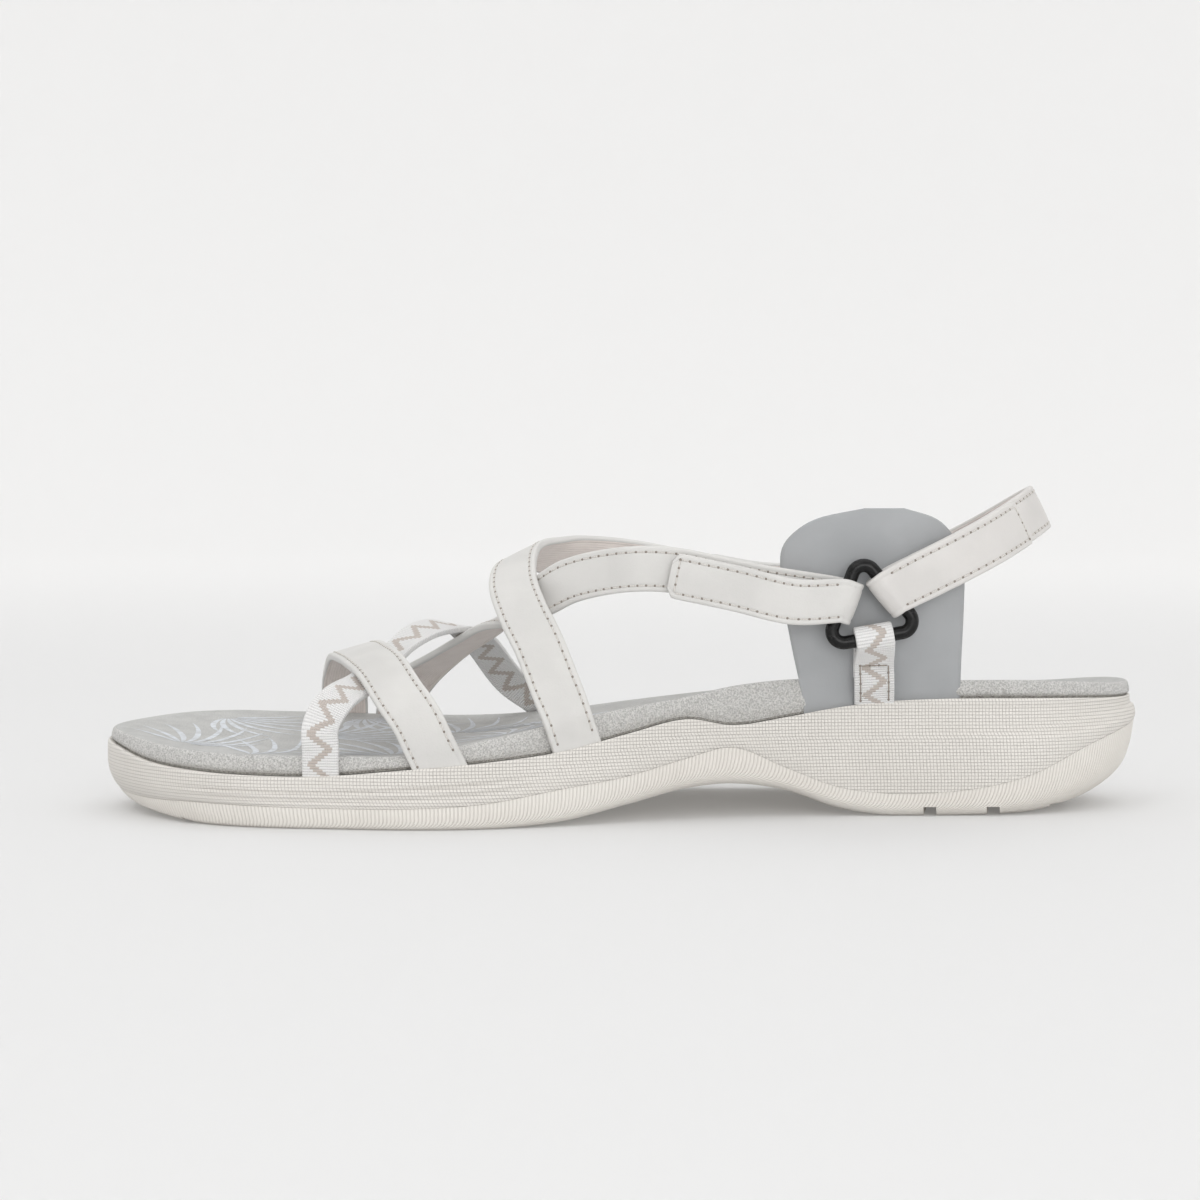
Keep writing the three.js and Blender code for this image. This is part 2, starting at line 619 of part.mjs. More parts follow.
// Knots of the webbing loop: up from the seam outside the pad, round the ring's lowest bar, and down inside
// its own strap.
function ringLoop(side) {
  const along = LOOP_PLACE / LENGTH;
  const x = toeX + LOOP_PLACE;
  const outside = new THREE.Vector3(0, side, 0);
  const rim = heightOf("rim", along, side);
  const bar = ringBar(side, "front", "back");
  const spot = (share, layers) => {
    const z = THREE.MathUtils.lerp(rim, bar.middle.z, share);
    const atX = THREE.MathUtils.lerp(x, bar.middle.x, share);
    const away = (layers - 0.5) * WEBBING_WALL + layers * FIT_GAP + LOOP_SLACK;
    return new THREE.Vector3(atX, padFace(atX, z, side) + side * away, z);
  };
  const seam = new THREE.Vector3(x, edgeY(x, side) - side * (RIM_LIP + WEBBING_WALL / 2), rim);
  const up = [seam.clone().setZ(rim - STRAP_TUCK), seam, spot(0.3, 2), spot(0.6, 2)];
  const down = [spot(0.55, 1), spot(0.4, 1)];
  return [
    ...up.map((point) => ({ point, normal: outside })),
    ...turnedOver(backwards(roundBar(side, bar, WEBBING_WALL, LOOP_TURN))),
    ...down.map((point) => ({ point, normal: outside.clone().negate() })),
  ];
}

// Knots of the heel strap's inner layer on one side, from the ring's back bar to the middle of the heel.
function heelHalf(side) {
  const bar = ringBar(side, "top", "back").middle;
  const half = ANKLE_SPAN / 2;
  const backX = toeX + HEEL_STRAP_BACK;
  const centre = new THREE.Vector3(THREE.MathUtils.lerp(bar.x, backX, 0.45), ANKLE_SHIFT, 0);
  return HEEL_STRAP.map(({ back, out }) => {
    const x = THREE.MathUtils.lerp(bar.x, backX, back);
    const z = THREE.MathUtils.lerp(bar.z, HEEL_STRAP_RISE, back);
    const point = new THREE.Vector3(x, ANKLE_SHIFT + side * out * half, z);
    const normal = new THREE.Vector3(Math.max(x - centre.x, 0), side * out * half, 0);
    normal.z = (normal.x * (HEEL_STRAP_RISE - bar.z)) / (backX - bar.x);
    normal.normalize();
    return { point, normal };
  });
}

function heelStrap() {
  const inner = heelHalf(MEDIAL);
  const farInner = heelHalf(LATERAL).slice(0, -1);
  const nearBar = ringBar(MEDIAL, "top", "back");
  const farBar = ringBar(LATERAL, "top", "back");
  const knots = [
    ...backwards(sewnBack(heelHalf(LATERAL).slice(0, 2), STRAP_WALL)),
    ...backwards(roundBar(LATERAL, farBar, STRAP_WALL)),
    ...farInner,
    ...backwards(inner),
    ...roundBar(MEDIAL, nearBar, STRAP_WALL),
    ...sewnBack(inner.slice(0, TAB_KNOTS), STRAP_WALL),
  ];
  return band(knots, HEEL_STRAP_WIDTH, STRAP_WALL);
}

const material = (color, roughness) => new THREE.MeshStandardMaterial({ color, roughness, metalness: 0 });
const FOAM = material(0xdfdcd4, 0.85);
const RUBBER = material(0xe2dfd8, 0.7);
const BED = material(0xbebfbc, 0.9);
const LEATHER = material(0xdedcd8, 0.6);
const WEBBING = material(0xd9d2cb, 0.85);
const PAD_FOAM = material(0xa5a8a9, 0.8);
const RING_PLASTIC = material(0x1e1e20, 0.45);

const shoe = new THREE.Group();
function addPiece(name, body, look) {
  const mesh = new THREE.Mesh(geometryOf(body), look);
  mesh.name = name;
  shoe.add(mesh);
}

// The outsole, with its lugs and the wave up the side.
function outsole() {
  const tread = (at, side) => heightOf("tread", at, side);
  const split = (at, side) => heightOf("split", at, side);
  const between = (share) => (at, side) => THREE.MathUtils.lerp(tread(at, side), split(at, side), share);
  const body = solid(
    loft([
      soleRing({ toe: 6.5, side: 2.4, heel: 18 }, tread),
      soleRing({ toe: 5.2, side: 1.4, heel: 10 }, between(0.1)),
      soleRing({ toe: 4.4, side: 0.9, heel: 4 }, between(0.3)),
      soleRing({ toe: 3.6, side: 0.5, heel: 1.4 }, between(0.62)),
      soleRing({ toe: 3, side: 0.3, heel: 0.3 }, split),
    ]),
  );
  return cutBy(body, treadCutters());
}

function treadCutters() {
  return TREAD_ZONES.flatMap(({ from, to, count, reach, slant }) =>
    Array.from({ length: count }, (_, i) => {
      const at = THREE.MathUtils.lerp(from, to, i / (count - 1));
      return [MEDIAL, LATERAL].map((side) => {
        const box = new THREE.BoxGeometry(TREAD_CHANNEL, reach * BALL_WIDTH, 2 * TREAD_DEPTH);
        box.translate(0, side * reach * BALL_WIDTH * CHANNEL_MIDDLE, 0);
        box.rotateZ(radians(side * slant));
        box.translate(toeX + at * LENGTH, axisY(at), 0);
        return solid(box);
      });
    }).flat(),
  );
}

// The midsole, with a step over its heel panel and soft grooves along the forefoot.
function midsole(cutters) {
  const low = (at, side) => heightOf("split", at, side) + FIT_GAP;
  const rim = (at, side) => heightOf("rim", at, side);
  const between = (share) => (at, side) => THREE.MathUtils.lerp(low(at, side), rim(at, side), share);
  const heelShare = (at) => THREE.MathUtils.smoothstep(at, 0.74, 0.82);
  const smooth = THREE.MathUtils.smoothstep;
  const frontShare = (at) => smooth(at, 0.06, 0.14) * (1 - smooth(at, 0.36, 0.44));
  const rows = [
    { share: 0, toe: 3, side: 0.4, heel: 0.3, groove: 0, step: 0 },
    { share: 0.12, toe: 1.8, side: 0.1, heel: 0, groove: 0, step: 0 },
    { share: 0.24, toe: 1, side: 0, heel: 0, groove: 1, step: 0 },
    { share: 0.36, toe: 0.4, side: 0, heel: 0.1, groove: 0, step: 0 },
    { share: 0.48, toe: 0.1, side: 0, heel: 0.3, groove: 1, step: 0 },
    { share: 0.56, toe: 0, side: 0, heel: 0.5, groove: 0, step: 0 },
    { share: 0.62, toe: 0, side: 0, heel: 1.2, groove: 0, step: 1 },
    { share: 0.85, toe: 0, side: 0, heel: 1.5, groove: 0, step: 1 },
    { share: 1, toe: 0.5, side: 0.4, heel: 1.8, groove: 0, step: 0.3 },
  ];
  const rings = rows.map(({ share, toe, side, heel, groove, step }) => {
    const inset = (at) => side + groove * SIDE_GROOVE * frontShare(at) + step * HEEL_STEP * heelShare(at);
    return soleRing({ toe, side: inset, heel }, between(share));
  });
  return cutBy(solid(loft([...rings, ...dishRings(rim)])), cutters);
}

// Rings that dish a layer from inside its edge to its middle, deepest in the heel cup.
const within = (inset) => ({ toe: TOE_LEDGE + inset, side: BED_LEDGE + inset, heel: HEEL_LEDGE + inset });
function dishRings(height) {
  const toHeel = (at) => THREE.MathUtils.smoothstep(at, BALL_PLACE, HEEL_PLACE);
  const deep = (at) => HEEL_CUP * THREE.MathUtils.lerp(TOE_DISH, 1, toHeel(at));
  return BED_DISH.map(({ inset, drop }) => {
    const dished = (at, side) => height(at, side) - drop * deep(at);
    return soleRing(within(inset), dished);
  });
}

// The footbed, dished above and below.
function insole(cutters) {
  const low = (at, side) => heightOf("rim", at, side) + FIT_GAP;
  const bed = (at, side) => heightOf("bed", at, side);
  const body = loft([
    ...dishRings(low).reverse(),
    soleRing(within(0), low),
    soleRing(within(0), (at, side) => bed(at, side) - BED_ROUND),
    soleRing(within(BED_ROUND * 0.3), (at, side) => bed(at, side) - BED_ROUND * 0.3),
    soleRing(within(BED_ROUND), bed),
    ...dishRings(bed),
  ]);
  return cutBy(solid(body), cutters);
}

const straps = upperBands();
const loops = [MEDIAL, LATERAL].map((side) => ringLoop(side));
const padSeats = [MEDIAL, LATERAL].map((side) => anklePad(side, FIT_GAP));
const seats = [
  ...upperBands(FIT_GAP),
  ...loops.map((knots) => band(knots.slice(0, 4), WEBBING_WIDTH, WEBBING_WALL, FIT_GAP)),
  ...padSeats,
];

addPiece("outsole", outsole(), RUBBER);
addPiece("midsole", midsole(seats), FOAM);
addPiece("insole", insole(padSeats), BED);
addPiece("upper", joined(straps), LEATHER);
addPiece("heel_strap", heelStrap(), LEATHER);
for (const [side, name, loop] of [[MEDIAL, "medial", loops[0]], [LATERAL, "lateral", loops[1]]]) {
  addPiece("ring_" + name, ring(side), RING_PLASTIC);
  addPiece("ankle_pad_" + name, anklePad(side), PAD_FOAM);
  addPiece("ring_webbing_" + name, band(loop, WEBBING_WIDTH, WEBBING_WALL), WEBBING);
}

export default shoe;
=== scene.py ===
import math

import bmesh
import bpy
import numpy as np
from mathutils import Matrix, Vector
from mathutils.bvhtree import BVHTree


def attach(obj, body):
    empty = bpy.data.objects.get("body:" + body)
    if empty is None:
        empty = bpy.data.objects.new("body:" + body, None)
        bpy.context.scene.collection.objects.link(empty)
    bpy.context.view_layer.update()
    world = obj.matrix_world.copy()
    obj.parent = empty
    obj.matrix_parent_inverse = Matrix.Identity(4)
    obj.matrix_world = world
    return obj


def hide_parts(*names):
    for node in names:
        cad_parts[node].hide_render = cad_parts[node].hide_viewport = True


# Right-foot hiking sandal. Lengths are in millimetres until a mesh is made. The toe points along -X, the
# inner side of the foot faces -Y, and the sole stands on Z = 0.
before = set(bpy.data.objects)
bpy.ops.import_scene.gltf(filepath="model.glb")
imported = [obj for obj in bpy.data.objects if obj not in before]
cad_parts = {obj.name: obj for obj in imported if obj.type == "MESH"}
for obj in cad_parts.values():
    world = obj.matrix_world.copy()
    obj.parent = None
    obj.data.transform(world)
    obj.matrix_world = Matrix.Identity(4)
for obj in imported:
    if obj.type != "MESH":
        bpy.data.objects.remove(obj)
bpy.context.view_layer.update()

MM = 0.001
MEDIAL, LATERAL = -1, 1
SIDES = ((MEDIAL, "medial"), (LATERAL, "lateral"))

# Sole
LENGTH, BALL_WIDTH, HEEL_STACK = 267, 94, 30
TOE_ROUND, HEEL_ROUND = 50, 38
AXIS_TOE, AXIS_HEEL = 0.01, 0.115
TREAD_DEPTH, TREAD_CHANNEL = 2.3, 3.2
HEEL_STEP, SIDE_GROOVE = 0.8, 0.5
# The seam height is how far above the rim the painted seam shadow reaches up the footbed's side.
RIM_LEDGE, RIM_LIP, BED_LEDGE, SEAM_SHADOW_HEIGHT = 2.9, 0.4, 3.1, 0.35
TOE_LEDGE, HEEL_LEDGE, BED_ROUND = 1.2, 1.8, 1.2
HEEL_CUP, TOE_DISH, BALL_PLACE, HEEL_PLACE = 5, 0.22, 0.35, 0.8
TOE_X = -LENGTH / 2

# Straps
INSTEP_HEIGHT = 64
STRAP_WIDTH, CROSS_STRAP_WIDTH, STRAP_WALL = 12.5, 11.3, 2
TOE_WEBBING_WIDTH, WEBBING_WIDTH, WEBBING_WALL = 9, 10, 1.6
STRAP_TUCK, BAR_TAPER = 5, 0.95
HEEL_STRAP_WIDTH, HEEL_STRAP_RISE, HEEL_STRAP_BACK = 12, 77, 0.901 * LENGTH
STITCH_INSET, STITCH_PITCH = 1.5, 2.3
SEAM_HIDDEN, TAB_START, TAB_HEM = 8, 1.5, 0.3
TAB_ROUND, HEEL_TAB_ROUND = 2.2, 1.6
FAR_SAG = 4

# Ankle pads and rings
ANKLE_HEIGHT, ANKLE_SPAN, ANKLE_SHIFT = 52.4, 0.697 * BALL_WIDTH, 0.055 * BALL_WIDTH
PAD_FRONT, PAD_WIDTH, PAD_TOP = 0.644 * LENGTH, 46.5, 77.4
OUTER_PAD_DROP, OUTER_PAD_BACK = 4, 6
PAD_WALL, PAD_FOOT_WALL = 4.5, 2
PAD_FRONT_CURL, PAD_BACK_CURL, PAD_LEAN_RISE = 2, 4.6, 22
LOOP_PLACE, LOOP_SLACK, LOOP_TURN = 0.733 * LENGTH, 0.2, 225
RING_SIDE, RING_CORNER, RING_BAR, RING_PLACE, RING_LEAN = 14.2, 2.9, 2.9, 0.725 * LENGTH, 10
RING_THICK, RING_SIDES = 3.4, 20
RING_ANGLES = {"top": 90 + RING_LEAN, "front": 210 + RING_LEAN, "back": 330 + RING_LEAN}
FIT_GAP = 0.3

# Steps from toe to heel on each side of the sole, and between two knots of a strap
STATIONS, STRAP_STEPS = 220, 12

# Half widths beside the sole's long axis, as shares of the ball width.
OUTLINE = {
    "at": (0.0, 0.05, 0.1, 0.2, 0.3, 0.37, 0.44, 0.5, 0.56, 0.62, 0.7, 0.8, 0.9, 1.0),
    MEDIAL: (0.36, 0.43, 0.465, 0.495, 0.537, 0.53, 0.483, 0.425, 0.38, 0.343, 0.315, 0.316, 0.322, 0.31),
    LATERAL: (0.44, 0.46, 0.45, 0.443, 0.452, 0.445, 0.408, 0.37, 0.345, 0.334, 0.332, 0.338, 0.333, 0.32),
}

# Heights of each layer's edge on the two sides, as shares of the heel stack.
LEVEL_AT = (0.0, 0.05, 0.1, 0.15, 0.22, 0.3, 0.37, 0.44, 0.5, 0.555, 0.6, 0.65, 0.7, 0.75, 0.82, 0.88,
            0.94, 1.0)
LEVELS = {
    MEDIAL: {
        "tread": (0.13, 0.06, 0.01, 0, 0, 0, 0, 0.04, 0.15, 0.265, 0.293, 0.225, 0.07, 0, 0, 0, 0.07,
                  0.2),
        "split": (0.18, 0.175, 0.19, 0.185, 0.173, 0.177, 0.21, 0.31, 0.39, 0.52, 0.6, 0.42, 0.25,
                  0.193, 0.22, 0.34, 0.58, 0.75),
        "rim": (0.6, 0.48, 0.445, 0.433, 0.433, 0.493, 0.545, 0.617, 0.74, 0.847, 0.787, 0.845, 0.92,
                0.97, 0.99, 0.99, 0.983, 0.95),
        "bed": (0.7, 0.63, 0.597, 0.587, 0.587, 0.6, 0.715, 0.845, 0.945, 1.02, 1.1, 1.145, 1.145,
                1.133, 1.133, 1.133, 1.115, 1.07),
    },
    LATERAL: {
        "tread": (0.13, 0.06, 0.01, 0, 0, 0, 0, 0.02, 0.07, 0.12, 0.13, 0.1, 0.03, 0, 0, 0, 0.07, 0.2),
        "split": (0.18, 0.175, 0.18, 0.18, 0.175, 0.175, 0.19, 0.26, 0.32, 0.4, 0.43, 0.36, 0.25, 0.2,
                  0.22, 0.33, 0.56, 0.75),
        "rim": (0.6, 0.57, 0.55, 0.53, 0.51, 0.5, 0.51, 0.56, 0.63, 0.7, 0.74, 0.78, 0.81, 0.84, 0.85,
                0.86, 0.88, 0.95),
        "bed": (0.7, 0.73, 0.72, 0.69, 0.665, 0.643, 0.65, 0.71, 0.79, 0.855, 0.9, 0.94, 0.97, 0.98,
                0.97, 0.97, 0.99, 1.07),
    },
}

# Where each strap leaves the seam on its inner and outer side, as shares of the length, and how far two of
# them slant there.
FRONT_SEAMS, TOE_SEAMS, INSTEP_SEAM, CROSS_SEAM = (0.331, 0.213), (0.221, 0.418), 0.457, 0.266
FRONT_SLANT, INSTEP_SLANT = 0.5, 0.33

# Routes of the straps: share of the length, of the ball width and of the instep height, the way the band
# faces (0 is to -Y, 90 up, 180 to +Y) and its lean to the toe.
FRONT_STRAP = (
    (0.309, -0.447, 0.416, 12, 0), (0.292, -0.396, 0.503, 30, 4), (0.274, -0.298, 0.59, 48, 10),
    (0.255, -0.138, 0.622, 72, 16), (0.242, 0.021, 0.622, 90, 20), (0.228, 0.213, 0.595, 112, 16),
    (0.219, 0.351, 0.505, 140, 8), (0.214, 0.43, 0.42, 165, 0),
)
TOE_WEBBING = (
    (0.222, -0.443, 0.39, 8, 0), (0.234, -0.385, 0.48, 34, 0), (0.257, -0.265, 0.54, 60, 0),
    (0.279, -0.12, 0.632, 88, 0), (0.305, -0.02, 0.71, 64, 0), (0.332, 0.1, 0.714, 74, 0),
    (0.355, 0.25, 0.635, 132, 4), (0.384, 0.41, 0.45, 155, 0),
)
INSTEP_STRAP = (
    (0.434, -0.372, 0.54, 8, 0), (0.419, -0.33, 0.69, 20, 4), (0.403, -0.25, 0.812, 40, 10),
    (0.393, -0.128, 0.922, 62, 18), (0.399, 0.032, 1.012, 92, 26), (0.437, 0.234, 0.996, 148, 14),
    (0.498, 0.33, 0.97, 160, 4), (0.58, 0.378, 0.9, 172, 0), (0.64, 0.385, 0.86, 178, 0),
)
CROSS_STRAP = (
    (0.287, 0.39, 0.455, 128, 0), (0.321, 0.25, 0.575, 98, 4), (0.357, 0.085, 0.68, 92, 8),
    (0.38, -0.05, 0.755, 74, 8), (0.401, -0.125, 0.81, 44, 6), (0.423, -0.16, 0.865, 26, 4),
    (0.448, -0.205, 0.925, 12, 0), (0.498, -0.28, 0.973, 2, 0), (0.542, -0.298, 0.973, 0, 0),
    (0.61, -0.292, 0.915, 0, 0),
)
CROSS_TAB = ((0.655, -0.333, 0.852, 0, 0), (0.6, -0.33, 0.905, 0, 0), (0.54, -0.327, 0.957, 0, 0))

# The heel strap from a ring to the middle of the back: share of the way back and of half the ankle span
HEEL_STRAP = ((0.2, 0.935), (0.4, 0.9), (0.6, 0.78), (0.8, 0.47), (0.95, 0.17), (1.0, 0))
TAB_KNOTS = 4

# Front and back edges of an ankle pad up its height, as shares of its width
PAD_EDGE = {
    "up": (0.0, 0.25, 0.5, 0.68, 0.8, 0.89, 0.955, 1.0),
    "front": (0.13, 0.07, 0.02, 0.0, 0.01, 0.09, 0.22, 0.45),
    "back": (0.98, 0.99, 1.0, 1.0, 0.97, 0.91, 0.82, 0.66),
}

# Channels across the tread: first and last place, count, reach as a share of the ball width, slant
TREAD_ZONES = ((0.13, 0.4, 7, 0.38, 16), (0.805, 0.925, 3, 0.6, 10))
CHANNEL_MIDDLE = 0.48


def lerp(a, b, t):
    return a + (b - a) * t


def smoothstep(x, low, high):
    t = np.clip((x - low) / (high - low), 0, 1)
    return t * t * (3 - 2 * t)


def unit(way):
    return way / np.linalg.norm(way)


def hoop(middle, side, up, count):
    """Points round the middle, from the tip of one half axis towards the other."""
    turns = 2 * math.pi * np.arange(count) / count
    return [middle + side * math.cos(a) + up * math.sin(a) for a in turns]


def added(name, data):
    """A new object in the scene."""
    obj = bpy.data.objects.new(name, data)
    bpy.context.scene.collection.objects.link(obj)
    return obj


def smooth_curve(keys, values):
    """A smooth curve through the values, as a function of the key."""
    keys, values = np.array(keys, float), np.array(values, float)
    order = np.arange(len(keys))
    before, after = np.maximum(order - 1, 0), np.minimum(order + 1, len(keys) - 1)
    span_shape = (-1,) + (1,) * (values.ndim - 1)
    slopes = (values[after] - values[before]) / (keys[after] - keys[before]).reshape(span_shape)

    def at(x):
        x = np.clip(x, keys[0], keys[-1])
        i = np.clip(np.searchsorted(keys, x) - 1, 0, len(keys) - 2)
        span = keys[i + 1] - keys[i]
        t = (x - keys[i]) / span
        if values.ndim > 1:
            span, t = np.expand_dims(span, -1), np.expand_dims(t, -1)
        ends = values[i] * (2 * t**3 - 3 * t**2 + 1) + values[i + 1] * (3 * t**2 - 2 * t**3)
        return ends + span * (slopes[i] * (t**3 - 2 * t**2 + t) + slopes[i + 1] * (t**3 - t**2))

    return at


half_width = {side: smooth_curve(OUTLINE["at"], OUTLINE[side]) for side in (MEDIAL, LATERAL)}
level = {side: {name: smooth_curve(LEVEL_AT, row) for name, row in rows.items()}
         for side, rows in LEVELS.items()}
pad_front = smooth_curve(PAD_EDGE["up"], PAD_EDGE["front"])
pad_back = smooth_curve(PAD_EDGE["up"], PAD_EDGE["back"])


def height_of(name, at, side):
    return np.maximum(0, level[side][name](at)) * HEEL_STACK


def part_way(low, high, share, above=0.0, below=0.0):
    """A height from above one level to below another, as a function of the place and side."""
    return lambda at, side: lerp(height_of(low, at, side) + above, height_of(high, at, side) - below, share)


def axis_y(at):
    return BALL_WIDTH * lerp(AXIS_TOE, AXIS_HEEL, at)


def end_round(distance, size):
    share = np.clip(1 - distance / size, 0, 1)
    return np.sqrt(1 - share**2)


def rounding(x, toe, heel):
    """1 along the sole, falling to 0 at its round ends, which are drawn in by the insets."""
    run = x - TOE_X
    return end_round(run - toe, TOE_ROUND) * end_round(LENGTH - heel - run, HEEL_ROUND)


def edge_y(x, side, inset=0.0, toe=0.0, heel=0.0):
    """The edge of the sole at x on one side, drawn in by the insets."""
    at = (x - TOE_X) / LENGTH
    return axis_y(at) + side * (half_width[side](at) * BALL_WIDTH - inset) * rounding(x, toe, heel)


def sole_ring(toe, side_inset, heel, height):
    """One ring round the sole: toe tip, inner side, heel end, outer side."""
    turns = math.pi * np.arange(STATIONS + 1) / STATIONS
    x = TOE_X + toe + (1 - np.cos(turns)) / 2 * (LENGTH - toe - heel)
    at = (x - TOE_X) / LENGTH
    inset = side_inset(at) if callable(side_inset) else side_inset
    middle = (height(at, MEDIAL) + height(at, LATERAL)) / 2
    sides = {}
    for side in (MEDIAL, LATERAL):
        z = lerp(middle, height(at, side), rounding(x, toe, heel))
        sides[side] = np.stack([x, edge_y(x, side, inset, toe, heel), z], axis=1)
    return np.concatenate([sides[MEDIAL], sides[LATERAL][-2:0:-1]])


class Skin:
    """Points and faces of one piece, with each corner's place on the material in millimetres."""

    def __init__(self):
        self.points, self.faces, self.looks, self.lay = [], [], [], []
        self.count = 0

    def grid(self, points, lay=None, look=0, around=False):
        points = np.asarray(points, float)
        rows, columns = points.shape[:2]
        lay = np.zeros((rows, columns + 1, 2)) if lay is None else lay
        base = self.count
        self.points.append(points.reshape(-1, 3))
        self.count += rows * columns
        for r in range(rows - 1):
            for c in range(columns if around else columns - 1):
                d = (c + 1) % columns
                low, high = base + r * columns, base + (r + 1) * columns
                self.faces.append((low + c, low + d, high + d, high + c))
                self.lay.extend((lay[r, c], lay[r, c + 1], lay[r + 1, c + 1], lay[r + 1, c]))
                self.looks.append(look if isinstance(look, int) else int(look[r, c]))

    def cap(self, corners):
        corners = np.asarray(corners, float)
        base = self.count
        self.points.append(corners)
        self.count += len(corners)
        self.faces.append(tuple(range(base, base + len(corners))))
        self.lay.extend([(p[0], p[1]) for p in corners])
        self.looks.append(0)

    def made(self, name, materials, sharp=50.0):
        points = np.concatenate(self.points) * MM
        mesh = bpy.data.meshes.new(name)
        mesh.from_pydata(points.tolist(), [], self.faces)
        mesh.uv_layers.new(name="lay").data.foreach_set("uv", np.array(self.lay, float).ravel())
        mesh.polygons.foreach_set("material_index", self.looks)
        for m in materials:
            mesh.materials.append(m)
        obj = added(name, mesh)
        cleaned(obj, sharp)
        return obj


def cleaned(obj, sharp):
    """Welds a mesh, turns its faces out and keeps its sharp edges sharp."""
    bm = bmesh.new()
    bm.from_mesh(obj.data)
    bmesh.ops.remove_doubles(bm, verts=bm.verts, dist=2e-6)
    bmesh.ops.recalc_face_normals(bm, faces=bm.faces)
    for face in bm.faces:
        face.smooth = True
    for edge in bm.edges:
        edge.smooth = not (edge.is_manifold and edge.calc_face_angle(0.0) > math.radians(sharp))
    bm.to_mesh(obj.data)
    bm.free()


def placed(obj, slot, *nodes):
    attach(obj, "root")
    if nodes:
        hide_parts(*nodes)


# Materials
class Look:
    """A principled material and short words for its nodes."""

    def __init__(self, name, roughness, **shader):
        self.material = bpy.data.materials.new(name)
        self.material.use_nodes = True
        self.tree = self.material.node_tree
        self.shader = self.tree.nodes["Principled BSDF"]
        self.shader.inputs["Roughness"].default_value = roughness
        for key, value in shader.items():
            self.feed(self.shader.inputs[key.replace("_", " ")], value)
        self.place = self.node("ShaderNodeTexCoord").outputs["Object"]

    def node(self, kind, **inputs):
        """A node with its inputs set by name, or by number as i0, i1 and so on."""
        made = self.tree.nodes.new(kind)
        for key, value in inputs.items():
            numbered = key[0] == "i" and key[1:].isdigit()
            self.feed(made.inputs[int(key[1:]) if numbered else key.replace("_", " ")], value)
        return made

    def feed(self, socket, value):
        """Links a socket or sets it; a colour is given as red, green and blue."""
        if isinstance(value, bpy.types.NodeSocket):
            self.tree.links.new(value, socket)
        else:
            socket.default_value = (*value, 1.0) if socket.type == "RGBA" else value

    def math(self, operation, a, b=0.0, c=0.0):
        made = self.tree.nodes.new("ShaderNodeMath")
        made.operation = operation
        for socket, value in zip(made.inputs, (a, b, c)):
            self.feed(socket, value)
        return made.outputs[0]

    def lay(self):
        """The place on the piece in millimetres: along it, and across it."""
        uv = self.tree.nodes.new("ShaderNodeUVMap")
        uv.uv_map = "lay"
        split = self.node("ShaderNodeSeparateXYZ", i0=uv.outputs[0])
        return split.outputs[0], split.outputs[1]

    def noise(self, size, detail=2.0, stretch=(1, 1, 1), rough=0.5):
        """Noise with grains of about this size in millimetres."""
        mapping = self.node("ShaderNodeMapping", Vector=self.place, Scale=stretch)
        made = self.node("ShaderNodeTexNoise", Vector=mapping.outputs[0], Scale=1 / (size * MM),
                         Detail=detail, Roughness=rough)
        return made.outputs[0]

    def cells(self, size):
        made = self.node("ShaderNodeTexVoronoi", Vector=self.place, Scale=1 / (size * MM))
        return made.outputs["Distance"]

    def between(self, value, low, high, to_low=0.0, to_high=1.0):
        made = self.node("ShaderNodeMapRange", i0=value, i1=low, i2=high, i3=to_low, i4=to_high)
        made.interpolation_type = "SMOOTHSTEP"
        return made.outputs[0]

    def mix(self, share, a, b):
        made = self.tree.nodes.new("ShaderNodeMix")
        made.data_type = "RGBA"
        for number, value in ((0, share), (6, a), (7, b)):
            self.feed(made.inputs[number], value)
        return made.outputs[2]

    def blend(self, value, low, high, a, b):
        """From one colour to the other as the value goes from low to high."""
        return self.mix(self.between(value, low, high), a, b)

    def groove_shade_and_tint(self, ridges, full, share, base, dark):
        """The base colour with up to this share of the other one in the grooves: painted shade where it is
        darker, a paler tint where it is lighter.
        """
        return self.mix(self.between(ridges, 0.0, full, share, 0.0), base, dark)

    def patchy(self, size, light, dark):
        return self.blend(self.noise(size, 3), 0.35, 0.7, light, dark)

    def done(self, base, *layers):
        """Sets the colour and the bumps, each a height from 0 to 1 and its depth in millimetres."""
        self.feed(self.shader.inputs["Base Color"], base)
        socket = self.shader.inputs["Normal"]
        for height, depth in reversed(layers):
            made = self.node("ShaderNodeBump", Height=height, Distance=depth * MM, Strength=1.0)
            self.feed(socket, made.outputs[0])
            socket = made.inputs["Normal"]
        return self.material

    def wave(self, value, pitch):
        """A round ridge at each pitch, from 0 in the groove to 1 on the ridge."""
        turn = self.math("MULTIPLY", value, math.pi / pitch)
        return self.math("ABSOLUTE", self.math("SINE", turn))


def foam_look():
    look = Look("foam", 0.62, Specular_IOR_Level=0.35)
    u, v = look.lay()
    cells = look.between(look.math("MINIMUM", look.wave(u, 0.85), look.wave(v, 0.85)), 0.0, 0.4)
    base = look.patchy(26, (0.83, 0.8, 0.755), (0.79, 0.76, 0.715))
    # Painted shade: the foam is darker in the grooves of its grid.
    base = look.groove_shade_and_tint(cells, 1.0, 0.5, base, (0.5, 0.475, 0.44))
    return look.done(base, (cells, 0.14), (look.noise(0.35, 2), 0.02))


def rubber_look():
    look = Look("rubber", 0.58, Specular_IOR_Level=0.4)
    ribs = look.between(look.wave(look.lay()[0], 0.95), 0.05, 0.75)
    base = look.patchy(30, (0.83, 0.8, 0.75), (0.79, 0.755, 0.705))
    # Painted shade: the rubber is darker in the grooves between its ribs.
    base = look.groove_shade_and_tint(ribs, 1.0, 0.3, base, (0.52, 0.485, 0.44))
    return look.done(base, (ribs, 0.13), (look.noise(0.5, 2), 0.02))


